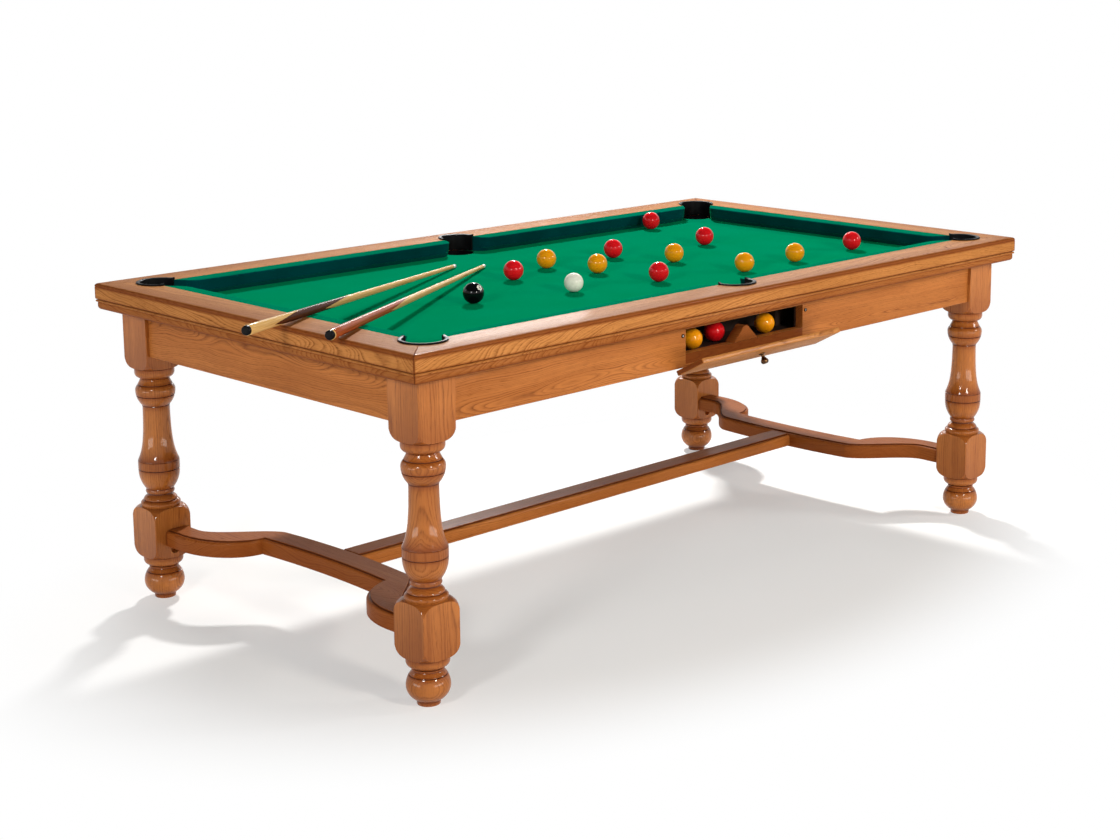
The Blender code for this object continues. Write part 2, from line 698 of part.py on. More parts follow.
def cushion_plan(start, end, start_angle, end_angle):
    """Plan of a cushion along the rail: straight nose, rounded jaws and slanted ends."""
    depth = CUSHION_WIDTH + FIT_GAP
    low = start + depth * math.tan(math.radians(start_angle))
    high = end - depth * math.tan(math.radians(end_angle))
    outline = [(start, 0)]
    outline += jaw((start, 0), (low, depth), (high, depth))
    outline += reversed(jaw((end, 0), (high, depth), (low, depth)))
    return outline + [(end, 0)]


def jaw(wood, corner, along):
    """Rounds the corner between a slanted end and the nose with a quadratic arc."""
    corner = Vector(corner)
    before = corner + (Vector(wood) - corner).normalized() * JAW_ROUND
    after = corner + (Vector(along) - corner).normalized() * JAW_ROUND
    points = []
    for i in range(6):
        t = i / 5
        point = before * (1 - t) ** 2 + corner * 2 * t * (1 - t) + after * t**2
        points.append((point.x, point.y))
    return points


def add_cushions():
    """Six cushions, each between two pockets and against one rail."""
    corner_reach = math.sqrt(LINER_RADIUS**2 - CORNER_POCKET_INSET_Y**2) + JAW_CLEARANCE
    end_reach = math.sqrt(LINER_RADIUS**2 - CORNER_POCKET_INSET_X**2) + JAW_CLEARANCE
    middle_end = LINER_RADIUS + JAW_CLEARANCE
    long_end = CORNER_X - corner_reach
    short_end = CORNER_Y - end_reach
    long_right = (middle_end, long_end, MIDDLE_JAW_ANGLE, CORNER_JAW_ANGLE)
    long_left = (-long_end, -middle_end, CORNER_JAW_ANGLE, MIDDLE_JAW_ANGLE)
    short = (-short_end, short_end, CORNER_JAW_ANGLE, CORNER_JAW_ANGLE)
    for name, plan, edge, turn in (
        ("front_left", long_left, CUSHION_LINE_Y, 0),
        ("front_right", long_right, CUSHION_LINE_Y, 0),
        ("right", short, CUSHION_LINE_X, 90),
        ("back_right", long_left, CUSHION_LINE_Y, 180),
        ("back_left", long_right, CUSHION_LINE_Y, 180),
        ("left", short, CUSHION_LINE_X, 270),
    ):
        block = prism(cushion_plan(*plan), BED_Z - CUT_MARGIN, TABLE_HEIGHT + CUT_MARGIN)
        bar = prism(cushion_section(), plan[0] - CUT_MARGIN, plan[1] + CUT_MARGIN)
        bar = mapped(bar, lambda d, z, along: (along, d, z))
        mesh = combined(bar, block, "INTERSECT")
        place = Matrix.Rotation(math.radians(turn), 4, "Z") @ Matrix.Translation((0, -edge, 0))
        mesh = edited(mesh, lambda bm: bm.transform(place))
        add_part(f"cushion_{name}", mesh, "green_cloth")


# Pocket liners


def ring_outline(centre, inner, outer, facing, span):
    """Plan of part of a ring, open on the side away from where it faces."""
    start = facing - span / 2
    end = facing + span / 2
    steps = POCKET_STEPS // 2
    return arc(centre, outer, start, end, steps) + arc(centre, inner, end, start, steps)


def add_liners():
    """Rubber liners hung by their rims on the rails, open toward the cloth."""
    for name, centre, facing, span in pocket_places():
        seat = TABLE_HEIGHT + FIT_GAP
        wall = ring_outline(centre, POCKET_RADIUS, LINER_RADIUS, facing, span)
        wall = prism(wall, BED_Z + FIT_GAP, seat + LINER_RIM_HEIGHT / 2)
        rim = ring_outline(centre, POCKET_RADIUS, RIM_RADIUS, facing, span)
        rim = prism(rim, seat, seat + LINER_RIM_HEIGHT)
        add_part(f"pocket_liner_{name}", combined(wall, rim, "UNION"), "black_rubber")


# Ball runs


def trough_body(points, low, high):
    """A side view in XZ carried across from y = low to y = high."""
    return mapped(prism(points, low, high), lambda x, z, y: (x, y, z))


def add_front_trough():
    """Run from both front corners down to the tray behind the opening."""
    tray_half = OPENING_LENGTH / 2
    low_outer = TRAY_FLOOR - TROUGH_WALL
    high_outer = TROUGH_HIGH - TROUGH_WALL
    far = TROUGH_END + CUT_MARGIN
    above = TROUGH_TOP + CUT_MARGIN
    body = [(-TROUGH_END, TROUGH_TOP), (-TROUGH_END, high_outer), (-tray_half, low_outer)]
    body += [(tray_half, low_outer), (TROUGH_END, high_outer), (TROUGH_END, TROUGH_TOP)]
    run = [(-far, TROUGH_HIGH), (-tray_half, TRAY_FLOOR), (tray_half, TRAY_FLOOR), (far, TROUGH_HIGH)]
    run += [(far, above), (-far, above)]
    outer = -TROUGH_OUTER
    inner = -TROUGH_INNER
    tray_back = outer + TRAY_DEPTH
    mesh = trough_body(body, outer, inner)
    tray = box((-tray_half - TROUGH_WALL, outer, low_outer), (tray_half + TROUGH_WALL, tray_back, TROUGH_TOP))
    mesh = combined(mesh, tray, "UNION")
    mesh = combined(mesh, trough_body(run, outer + TROUGH_WALL, inner - TROUGH_WALL), "DIFFERENCE")
    hollow = box((-tray_half, outer - CUT_MARGIN, TRAY_FLOOR), (tray_half, tray_back - TROUGH_WALL, above))
    mesh = combined(mesh, hollow, "DIFFERENCE")
    half = TROUGH_WIDTH / 2
    mouth = box((-half, tray_back - 2 * TROUGH_WALL, TRAY_FLOOR), (half, tray_back + CUT_MARGIN, above))
    add_part("ball_trough_front", combined(mesh, mouth, "DIFFERENCE"), "plywood")
    return tray_back


def add_back_trough():
    """Run from both back corners down to the cross chute."""
    low_outer = CHUTE_HIGH - TROUGH_WALL
    high_outer = TROUGH_HIGH - TROUGH_WALL
    far = TROUGH_END + CUT_MARGIN
    above = TROUGH_TOP + CUT_MARGIN
    half = TROUGH_WIDTH / 2
    body = [(-TROUGH_END, high_outer), (-half, low_outer), (half, low_outer), (TROUGH_END, high_outer)]
    body += [(TROUGH_END, TROUGH_TOP), (-TROUGH_END, TROUGH_TOP)]
    run = [(-far, TROUGH_HIGH), (-half, CHUTE_HIGH), (half, CHUTE_HIGH), (far, TROUGH_HIGH)]
    run += [(far, above), (-far, above)]
    mesh = trough_body(body, TROUGH_INNER, TROUGH_OUTER)
    channel = trough_body(run, TROUGH_INNER + TROUGH_WALL, TROUGH_OUTER - TROUGH_WALL)
    mesh = combined(mesh, channel, "DIFFERENCE")
    mouth = box((-half, TROUGH_INNER - CUT_MARGIN, CHUTE_HIGH), (half, TROUGH_INNER + 2 * TROUGH_WALL, above))
    add_part("ball_trough_back", combined(mesh, mouth, "DIFFERENCE"), "plywood")


def add_cross_chute(tray_back):
    """Chute that carries the back balls under the bearers to the tray."""
    start = tray_back + FIT_GAP
    end = TROUGH_INNER - FIT_GAP
    half = TROUGH_WIDTH / 2
    near = start - CUT_MARGIN
    far = end + CUT_MARGIN
    above = TROUGH_TOP + CUT_MARGIN
    side = [(start, CHUTE_LOW - TROUGH_WALL), (end, CHUTE_HIGH - TROUGH_WALL)]
    side += [(end, TROUGH_TOP), (start, TROUGH_TOP)]
    run = [(near, CHUTE_LOW), (far, CHUTE_HIGH), (far, above), (near, above)]
    body = mapped(prism(side, -half - TROUGH_WALL, half + TROUGH_WALL), lambda y, z, x: (x, y, z))
    hollow = mapped(prism(run, -half, half), lambda y, z, x: (x, y, z))
    add_part("cross_chute", combined(body, hollow, "DIFFERENCE"), "plywood")


def add_divider():
    """Rounded ridge on the lip of the opening that parts the two bays of the tray."""
    base = OPENING_BOTTOM + FIT_GAP
    top = base + DIVIDER_HEIGHT
    half = DIVIDER_BASE / 2
    outline = [(-half, base), (half, base)]
    outline += arc((0, top - DIVIDER_TOP_RADIUS), DIVIDER_TOP_RADIUS, 35, 145, 6)
    front = -APRON_FACE_Y
    add_part("tray_divider", trough_body(outline, front, front + DIVIDER_DEPTH), "oak")


# Flap


def knob_profile():
    profile = [(0, KNOB_LENGTH)] + arc((0, KNOB_LENGTH - KNOB_HEAD_HEIGHT), KNOB_RADIUS, 60, -20, 5)
    profile += [(KNOB_STEM_RADIUS, KNOB_STEM_LENGTH), (KNOB_STEM_RADIUS, 2 * KNOB_BASE_HEIGHT)]
    return profile + [(KNOB_BASE_RADIUS, KNOB_BASE_HEIGHT), (KNOB_BASE_RADIUS, 0), (0, 0)]


def add_flap():
    """Flap hung on the apron's lower edge, with its knob, at rest where its stays hold it open."""
    pivot = bpy.data.objects.new("flap_pivot", None)
    pivot.location = (0, HINGE_Y, HINGE_Z)
    pivot.rotation_euler = (math.radians(FLAP_OPEN_ANGLE), 0, 0)
    COLLECTION.objects.link(pivot)
    inner = -FLAP_GAP / 2
    outer = inner - FLAP_THICKNESS
    low = HINGE_BARREL_RADIUS + FIT_GAP
    board = box((-FLAP_LENGTH / 2, outer, low), (FLAP_LENGTH / 2, inner, low + FLAP_HEIGHT))

    def rounded(edge):
        on_face = any(abs(v.co.y - outer) < 1e-6 for v in edge.verts)
        return on_face or all(v.co.z > low + FLAP_HEIGHT / 2 for v in edge.verts)

    def round_edges(bm):
        edges = [e for e in bm.edges if rounded(e)]
        bmesh.ops.bevel(bm, geom=edges, offset=FLAP_ROUND, segments=2, profile=0.5, affect="EDGES")

    add_part("return_flap", edited(board, round_edges), "oak", pivot)
    knob = turned(knob_profile(), SMALL_STEPS)
    place = Matrix.Translation((0, outer - FIT_GAP, low + FLAP_HEIGHT / 2))
    place = place @ Matrix.Rotation(math.pi / 2, 4, "X")
    add_part("flap_knob", edited(knob, lambda bm: bm.transform(place)), "bronze", pivot)


def add_hinges():
    """Butt hinges under the apron: a leaf screwed to its lower edge and the barrel on the flap's axis."""
    for name, side in (("left", -1), ("right", 1)):
        middle = side * HINGE_SPACING / 2
        low = middle - HINGE_LENGTH / 2
        high = middle + HINGE_LENGTH / 2
        barrel = cylinder((0, 0), HINGE_BARREL_RADIUS, low, high, SMALL_STEPS)
        barrel = mapped(barrel, lambda y, z, x: (x, HINGE_Y + y, HINGE_Z + z))
        top = APRON_BOTTOM - FIT_GAP
        leaf = box((low, HINGE_Y, top - HINGE_LEAF_THICKNESS), (high, HINGE_Y + HINGE_LEAF_WIDTH, top))
        add_part(f"flap_hinge_{name}", combined(leaf, barrel, "UNION"), "bronze")


def add_catches():
    """Small catches on the apron's face that hold the closed flap."""
    for name, side in (("left", -1), ("right", 1)):
        x = side * (OPENING_LENGTH / 2 + CATCH_INSET)
        z = OPENING_TOP - CATCH_HEIGHT
        face = APRON_FACE_Y + FIT_GAP
        button = cylinder((0, 0), CATCH_RADIUS, face, face + CATCH_PROUD - 2 * FIT_GAP, SMALL_STEPS)
        button = mapped(button, lambda u, v, out, x=x, z=z: (x + u, -out, z + v))
        add_part(f"flap_catch_{name}", button, "bronze")


# Balls and cues


def ball_mesh(diameter):
    mesh = bpy.data.meshes.new("ball")
    return edited(
        mesh,
        lambda bm: bmesh.ops.create_uvsphere(
            bm, u_segments=BALL_SEGMENTS, v_segments=BALL_RINGS, radius=diameter / 2
        ),
    )


def add_balls():
    radius = BALL_DIAMETER / 2
    for name, finish, (share_x, share_y) in BED_BALLS:
        place = (share_x * PLAY_X, share_y * PLAY_Y, BED_Z + FIT_GAP + radius)
        add_part(name, ball_mesh(BALL_DIAMETER), finish, None, place)
    share_x, share_y = CUE_BALL_PLACE
    place = (share_x * PLAY_X, share_y * PLAY_Y, BED_Z + FIT_GAP + CUE_BALL_DIAMETER / 2)
    add_part("ball_white", ball_mesh(CUE_BALL_DIAMETER), "white_ball", None, place)
    front_row = APRON_THICKNESS - APRON_FACE_Y + radius + TRAY_BALL_CLEARANCE
    for name, finish, x, behind in TRAY_BALLS:
        y = front_row + behind
        add_part(name, ball_mesh(BALL_DIAMETER), finish, None, (x, y, TRAY_FLOOR + FIT_GAP + radius))


def cue_radius(share):
    """Radius along the cue, from the butt at 0 to the tip at 1."""
    return CUE_BUTT_RADIUS + (CUE_TIP_RADIUS - CUE_BUTT_RADIUS) * share


def cue_mesh():
    """A cue along +Z from its butt, with rounded ends."""
    profile = [(0, CUE_LENGTH), (CUE_TIP_RADIUS - CUE_END_ROUND, CUE_LENGTH)]
    profile.append((CUE_TIP_RADIUS, CUE_LENGTH - CUE_END_ROUND))
    profile += [(cue_radius(share), CUE_LENGTH * share) for share in (0.75, 0.5, 0.25)]
    profile.append((CUE_BUTT_RADIUS, CUE_END_ROUND))
    return turned(profile + [(CUE_BUTT_RADIUS - CUE_END_ROUND, 0), (0, 0)], CUE_STEPS)


def add_cues():
    """Cues that lean on the end rail's inner edge with their tips on the cloth."""
    for name, finish, overhang, butt_y, heading in CUES:
        butt_x = -HALF_LENGTH - overhang
        along = Vector((math.cos(math.radians(heading)), math.sin(math.radians(heading)), 0))
        to_rail = (-CUSHION_LINE_X - butt_x) / along.x
        tip_z = BED_Z + FIT_GAP + CUE_TIP_RADIUS
        rail_z = TABLE_HEIGHT + 2 * FIT_GAP + cue_radius(to_rail / CUE_LENGTH)
        slope = (tip_z - rail_z) / (CUE_LENGTH - to_rail)
        butt = (butt_x, butt_y, rail_z - slope * to_rail)
        axis = Vector((along.x, along.y, slope)).normalized()
        cue = add_part(name, cue_mesh(), finish, None, butt)
        cue.rotation_euler = axis.to_track_quat("Z", "Y").to_euler()


def main():
    add_legs()
    add_aprons()
    add_bearers()
    add_stretchers()
    add_bed()
    add_rails()
    add_cushions()
    add_liners()
    tray_back = add_front_trough()
    add_back_trough()
    add_cross_chute(tray_back)
    add_divider()
    add_flap()
    add_hinges()
    add_catches()
    add_balls()
    add_cues()


main()
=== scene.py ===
import math
import random

import bmesh
import bpy
import numpy as np
from mathutils import Matrix, Vector


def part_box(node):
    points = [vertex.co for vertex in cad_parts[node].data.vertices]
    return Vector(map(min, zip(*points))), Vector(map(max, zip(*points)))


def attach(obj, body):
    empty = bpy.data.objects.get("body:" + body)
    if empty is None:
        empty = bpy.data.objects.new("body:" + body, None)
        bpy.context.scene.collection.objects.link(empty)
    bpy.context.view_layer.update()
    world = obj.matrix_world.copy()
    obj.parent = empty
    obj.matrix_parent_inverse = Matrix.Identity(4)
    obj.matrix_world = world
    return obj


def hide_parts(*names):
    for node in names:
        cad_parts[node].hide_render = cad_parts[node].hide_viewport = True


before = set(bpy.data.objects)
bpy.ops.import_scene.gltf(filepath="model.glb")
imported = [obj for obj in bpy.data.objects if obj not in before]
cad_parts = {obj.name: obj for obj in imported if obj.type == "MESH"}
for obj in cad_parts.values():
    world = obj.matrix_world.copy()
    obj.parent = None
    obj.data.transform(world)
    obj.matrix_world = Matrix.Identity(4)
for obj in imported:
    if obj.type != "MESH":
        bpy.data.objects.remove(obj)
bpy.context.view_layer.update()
scene = bpy.context.scene
chance = random.Random(11)  # the same boards every run
print("frame loaded:", len(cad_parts), "nodes")

# Levels and lines of the table, read from the solids (metres)
railLow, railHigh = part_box("rail_front")
leftRailLow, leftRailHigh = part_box("rail_left")
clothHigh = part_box("bed_cloth")[1]
halfLength, halfWidth = -leftRailLow.x, -railLow.y
railTop, railBottom, bedTop = railHigh.z, railLow.z, clothHigh.z
cushionLineX, cushionLineY = -leftRailHigh.x, -railHigh.y
alongX, alongY, upward = (1, 0, 0), (0, 1, 0), (0, 0, 1)


def linear(hexColour):
    parts = [int(hexColour[i : i + 2], 16) / 255 for i in (1, 3, 5)]
    return tuple(p / 12.92 if p <= 0.04045 else ((p + 0.055) / 1.055) ** 2.4 for p in parts) + (1.0,)


def shaded(hexColour, gain, lift=0.0):
    return tuple(min(1.0, c * gain + lift) for c in linear(hexColour)[:3]) + (1.0,)


def addNode(tree, kind, inputs=None, out=0, **settings):
    made = tree.nodes.new("ShaderNode" + kind)
    for key, value in settings.items():
        setattr(made, key, value)
    for key, value in (inputs or {}).items():
        if isinstance(value, bpy.types.NodeSocket):
            tree.links.new(value, made.inputs[key])
        else:
            made.inputs[key].default_value = value
    return made.outputs[out] if len(made.outputs) else made


def blend(tree, share, first, second):
    return addNode(tree, "Mix", {0: share, 6: first, 7: second}, out=2, data_type="RGBA")


def calc(tree, operation, *values):
    return addNode(tree, "Math", dict(enumerate(values)), operation=operation)


def remap(tree, value, *limits):
    # the limits are from low, from high, to low, to high
    return addNode(tree, "MapRange", dict(enumerate((value, *limits))))


def evenNoise(tree, sizeMm, **settings):
    place = addNode(tree, "TexCoord", out="Object")
    return addNode(tree, "TexNoise", {"Vector": place, "Scale": 1000 / sizeMm, **settings})


def drawnNoise(tree, place, longMm, wideMm, out=0, **settings):
    # noise drawn out along the first axis of its place
    scale = (1000 / longMm, 1000 / wideMm, 1000 / wideMm)
    drawn = addNode(tree, "Mapping", {"Vector": place, "Scale": scale})
    return addNode(tree, "TexNoise", {"Vector": drawn, "Scale": 1.0, **settings}, out=out)


def relief(tree, height, strength, depth):
    return addNode(tree, "Bump", {"Height": height, "Strength": strength, "Distance": depth}, out="Normal")


def startMaterial(name, **sockets):
    material = bpy.data.materials.new(name)
    material.use_nodes = True
    shader = material.node_tree.nodes["Principled BSDF"]
    for key, value in sockets.items():
        shader.inputs[key.replace("_", " ")].default_value = value
    return material, material.node_tree, shader


def plug(tree, shader, **sockets):
    for key, socket in sockets.items():
        tree.links.new(socket, shader.inputs[key.replace("_", " ")])


def setRamp(socket, shades):
    # grey stops as (position, shade)
    ramp = socket.node.color_ramp
    while len(ramp.elements) > 1:
        ramp.elements.remove(ramp.elements[-1])
    stops = [(position, (shade, shade, shade, 1.0)) for position, shade in shades]
    ramp.elements[0].position, ramp.elements[0].color = stops[0]
    for position, colour in stops[1:]:
        ramp.elements.new(position).color = colour


# Oak, planed or turned, stained honey brown and lacquered: uneven rings with dark open pores,
# orange-brown painted shade on the round edges and dark brown stain and painted shade in the quirks, satin
# gloss that breaks up over the pores
boardOak = {
    # the stainAndShade and quirk colours are partly painted shade, laid on by each point's stainAndShade
    # value
    "light": "#BC7539", "middle": "#A6622A", "dark": "#703810", "pore": "#47200B", "stainAndShade": "#74330C",
    "quirk": "#2E120A", "stainAndShadeShare": 0.78, "quirkShare": 0.85, "stainAndShadeFull": 0.6,
    "ringMm": 2.5, "ringShare": 0.72, "ringDrift": 2.6, "driftScale": 0.31,
    "ringShades": ((0.0, 0.6), (0.07, 1.0), (0.30, 0.4), (0.62, 0.0), (0.92, 0.10), (1.0, 0.6)),
    "poreMm": (26.0, 1.9), "poreShare": 0.55,  # real pores are 0.3 mm wide: drawn wider
    "wanderMm": (420.0, 130.0), "wanderBy": 0.030, "cloudMm": (380.0, 55.0),
    "roughness": 0.48, "poreRough": 0.2, "specular": 0.10, "coat": 0.06, "coatRough": 0.10,
}
# on the rails the base is paler and greyer than on the boards, partly painted reflection of the white
# surroundings
railOak = dict(boardOak, light="#C08146", middle="#AB6F37", ringShare=0.66, poreShare=0.66, specular=0.02)
braceOak = dict(boardOak, specular=0.03, coat=0.09)
turnedOak = dict(boardOak, ringMm=3.4, ringShare=0.58, wanderMm=(260.0, 60.0), wanderBy=0.010,
                 roughness=0.30, specular=0.03, coat=0.45, coatRough=0.07)


def makeOak(name, finish):
    material, tree, shader = startMaterial(
        name, IOR=1.5, Specular_IOR_Level=finish["specular"], Coat_Weight=finish["coat"],
        Coat_Roughness=finish["coatRough"])
    grain = addNode(tree, "Attribute", out="Vector", attribute_name="grain")
    # stainAndShade holds real stain in end grain and mitres, and painted shade in quirks and on faces the
    # light misses
    stainAndShade = addNode(tree, "Attribute", out="Fac", attribute_name="stainAndShade")
    wander = drawnNoise(tree, grain, *finish["wanderMm"], out="Color", Detail=2.0)
    wander = addNode(tree, "VectorMath", {0: wander, 1: (0.5, 0.5, 0.5)}, operation="SUBTRACT")
    wander = addNode(tree, "VectorMath", {0: wander, "Scale": finish["wanderBy"] * 2}, operation="SCALE")
    bent = addNode(tree, "VectorMath", {0: grain, 1: wander}, operation="ADD")
    # growth rings round the pith, whose lean in the plank draws flames on flat-sawn faces
    flat = addNode(tree, "VectorMath", {0: bent, 1: (0.0, 1.0, 1.0)}, operation="MULTIPLY")
    radius = addNode(tree, "VectorMath", {0: flat}, out="Value", operation="LENGTH")
    rings = calc(tree, "MULTIPLY", radius, 1000 / finish["ringMm"])
    drift = {"W": rings, "Scale": finish["driftScale"], "Detail": 2.0}
    years = addNode(tree, "TexNoise", drift, noise_dimensions="1D")
    phase = calc(tree, "FRACT", calc(tree, "MULTIPLY_ADD", years, finish["ringDrift"], rings))
    early = addNode(tree, "ValToRGB", {0: phase}, out="Color")
    setRamp(early, finish["ringShades"])
    strength = remap(tree, years, 0.3, 0.7, 0.25 * finish["ringShare"], 1.25 * finish["ringShare"])
    pores = drawnNoise(tree, bent, *finish["poreMm"], Detail=2.0, Roughness=0.6)
    inEarly = remap(tree, early, 0.0, 1.0, 0.25, 1.0)
    pores = calc(tree, "MULTIPLY", remap(tree, pores, 0.48, 0.70), inEarly)
    cloud = remap(tree, drawnNoise(tree, bent, *finish["cloudMm"], Detail=3.0), 0.30, 0.70)
    body = blend(tree, cloud, linear(finish["light"]), linear(finish["middle"]))
    full = finish["stainAndShadeFull"]
    for shade, share in (
        ("dark", calc(tree, "MULTIPLY", early, strength)),
        ("pore", calc(tree, "MULTIPLY", pores, finish["poreShare"])),
        ("stainAndShade", remap(tree, stainAndShade, 0.0, full, 0.0, finish["stainAndShadeShare"])),
        ("quirk", remap(tree, stainAndShade, full, 1.0, 0.0, finish["quirkShare"])),
    ):
        body = blend(tree, share, body, linear(finish[shade]))
    rough = remap(tree, pores, 0.0, 1.0, finish["roughness"], finish["roughness"] + finish["poreRough"])
    height = calc(tree, "MULTIPLY_ADD", pores, -1.0, 1.0)
    plug(tree, shader, Base_Color=body, Roughness=rough, Normal=relief(tree, height, 0.2, 0.0006))
    return material


lacqueredOak = makeOak("oakStainedLacquered", boardOak)
bracedOak = makeOak("oakMouldedLacquered", braceOak)
railedOak = makeOak("oakFlatSawnLacquered", railOak)
spindleOak = makeOak("oakTurnedLacquered", turnedOak)

# Wool cloth, woven and napped: matt and deep green face on, brighter where the nap is seen along the cloth
clothFinish = {
    "deep": "#002B2F", "bright": "#00373A", "nap": "#00E68C", "napWeight": 0.36, "napRough": 0.80,
    "threadMm": 2.4, "threadShare": 0.35, "cloudMm": 130.0,  # real threads are 0.5 mm: drawn coarser
}
# Pulled tight over the cushions the nap lies flat, so it only lights up along the cloth
tightFinish = dict(clothFinish, deep="#003338", bright="#004146", napRough=0.42)


def makeCloth(name, finish):
    material, tree, shader = startMaterial(
        name, Roughness=1.0, Specular_IOR_Level=0.0, Sheen_Weight=finish["napWeight"],
        Sheen_Roughness=finish["napRough"], Sheen_Tint=linear(finish["nap"]))
    thread = evenNoise(tree, finish["threadMm"], Detail=3.0, Roughness=0.7)
    cloud = evenNoise(tree, finish["cloudMm"], Detail=2.0)
    both = addNode(tree, "Mix", {0: finish["threadShare"], 2: cloud, 3: thread})
    body = blend(tree, remap(tree, both, 0.36, 0.64), linear(finish["deep"]), linear(finish["bright"]))
    plug(tree, shader, Base_Color=body, Normal=relief(tree, thread, 0.25, 0.0008))
    return material


woolCloth = makeCloth("woolClothNapped", clothFinish)
tightCloth = makeCloth("woolClothTight", tightFinish)

# Moulded black rubber, ABS and chalked leather: satin or matt skin with a fine grain
mouldFinish = {  # colour, roughness, specular, grain in mm, speckle
    "rubber": ("#060608", 0.40, 0.06, 1.6, 0.4),
    "ferrule": ("#E9E6DC", 0.3, 0.28, 1.0, 0.03),
    "leather": ("#5B7388", 0.8, 0.28, 0.8, 0.5),
}


def makeMoulded(name, colour, roughness, specular, grainMm, speckle):
    material, tree, shader = startMaterial(name, IOR=1.5, Specular_IOR_Level=specular)
    skin = evenNoise(tree, grainMm, Detail=3.0)
    body = blend(tree, skin, linear(colour), shaded(colour, 1 + speckle, 0.004))
    rough = remap(tree, skin, 0.0, 1.0, roughness - 0.06, roughness + 0.06)
    plug(tree, shader, Base_Color=body, Roughness=rough, Normal=relief(tree, skin, 0.12, 0.0003))
    return material


blackRubber = makeMoulded("blackRubberMoulded", *mouldFinish["rubber"])
ferruleAbs = makeMoulded("ferruleAbs", *mouldFinish["ferrule"])
leatherTip = makeMoulded("leatherTipChalked", *mouldFinish["leather"])

# Phenolic resin, cast and polished: clear gloss, faint depth in the colour, a few chalk scuffs
resinFinish = {"red": "#EE1820", "yellow": "#FFA510", "black": "#08080A", "white": "#FFFBEA", "scuffMm": 9.0}


def makeResin(name, colour, mark=None):
    material, tree, shader = startMaterial(name, IOR=1.5, Specular_IOR_Level=0.2)
    scuff = evenNoise(tree, resinFinish["scuffMm"], Detail=5.0)
    body = blend(tree, scuff, shaded(colour, 0.90), linear(colour))
    if mark:
        # an inlaid white disc with an eight, drawn as distances from points on the ball
        place = addNode(tree, "TexCoord", out="Object")
        inlays = [("white", "LESS_THAN", mark["disc"], (mark["discRadius"],))]
        inlays += [("black", "COMPARE", centre, (radius, mark["stroke"])) for centre, radius in mark["loops"]]
        for shade, test, centre, limits in inlays:
            away = addNode(tree, "VectorMath", {0: place, 1: centre}, out="Value", operation="DISTANCE")
            body = blend(tree, calc(tree, test, away, *limits), body, linear(resinFinish[shade]))
    plug(tree, shader, Base_Color=body, Roughness=remap(tree, scuff, 0.35, 0.7, 0.05, 0.12))
    return material


# the eight lies on the side of the black ball that is turned up and to the right of the camera
ballMark = {"turn": (0.095, -0.782, 0.616), "upright": (0.25, 0, 1), "discRadius": 0.0070, "stroke": 0.0006,
            "rings": ((0.0020, 0.0016), (-0.0019, 0.0020))}  # each ring's place up the disc and its radius
blackLow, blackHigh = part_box("ball_black")
turn, upright = Vector(ballMark["turn"]).normalized(), Vector(ballMark["upright"])
rising = (upright - turn * turn.dot(upright)).normalized()
ballMark["disc"] = (blackLow + blackHigh) / 2 + turn * (blackHigh.z - blackLow.z) / 2
ballMark["loops"] = [(ballMark["disc"] + rising * rise, radius) for rise, radius in ballMark["rings"]]
marks = {"red": None, "yellow": None, "black": ballMark, "white": None}
resins = {key: makeResin("phenolicResin" + key.title(), resinFinish[key], marks[key]) for key in marks}

# Cue woods, turned, spliced and lacquered: close grain along the cue, dark wood let into pale in long points
cueFinish = {"maple": ("#DDB778", "#C29350"), "rosewood": ("#5A2F1C", "#341A10"),
             "mahogany": ("#B0562A", "#823A1A"), "fibreMm": (88.0, 2.2), "pointTurn": 105}
cueSplices = {  # wood, where it starts along the cue and how far its points reach, in metres from the butt
    "maple": [("maple", 0.0, 0.0), ("rosewood", 0.114, 0.136), ("maple", 0.370, 0.143)],
    "mahogany": [("maple", 0.0, 0.0), ("mahogany", 0.012, 0.0), ("maple", 0.383, 0.152)],
}


def makeCueWood(name, splices, finish):
    material, tree, shader = startMaterial(name, IOR=1.5, Specular_IOR_Level=0.04, Roughness=0.20)
    grain = addNode(tree, "Attribute", out="Vector", attribute_name="grain")
    fibre = remap(tree, drawnNoise(tree, grain, *finish["fibreMm"], Detail=4.0, Roughness=0.6), 0.32, 0.68)
    along = addNode(tree, "SeparateXYZ", {0: grain})
    turn = calc(tree, "ARCTAN2", along.node.outputs[2], along.node.outputs[1])
    turn = calc(tree, "MULTIPLY_ADD", turn, 1 / math.pi, -finish["pointTurn"] / 180)
    point = calc(tree, "PINGPONG", turn, 0.5)
    layers = [blend(tree, fibre, *[linear(shade) for shade in finish[wood]]) for wood, _, _ in splices]
    body = layers[0]
    for layer, (_, start, reach) in zip(layers[1:], splices[1:]):
        edge = calc(tree, "MULTIPLY_ADD", point, -2 * reach, start + reach)
        body = blend(tree, calc(tree, "GREATER_THAN", along, edge), body, layer)
    plug(tree, shader, Base_Color=body, Normal=relief(tree, fibre, 0.06, 0.0002))
    return material


cueWoods = {key: makeCueWood(key + "SplicedLacquered", cueSplices[key], cueFinish) for key in cueSplices}

# Bronzed brass and steel, lathe turned: darkened, and worn brighter in clouds
metalFinish = {"bronze": ("#33231A", "#7A5A3C"), "steel": ("#8A8A8C", "#C9C9CB"), "wearMm": 1000 / 140}


def makeMetal(name, dark, worn):
    material, tree, shader = startMaterial(name, Metallic=1.0)
    wear = remap(tree, evenNoise(tree, metalFinish["wearMm"], Detail=4.0), 0.42, 0.66)
    body = blend(tree, wear, linear(dark), linear(worn))
    plug(tree, shader, Base_Color=body, Roughness=remap(tree, wear, 0.0, 1.0, 0.42, 0.26))
    return material


agedBronze = makeMetal("brassBronzedTurned", *metalFinish["bronze"])
brightSteel = makeMetal("steelTurned", *metalFinish["steel"])

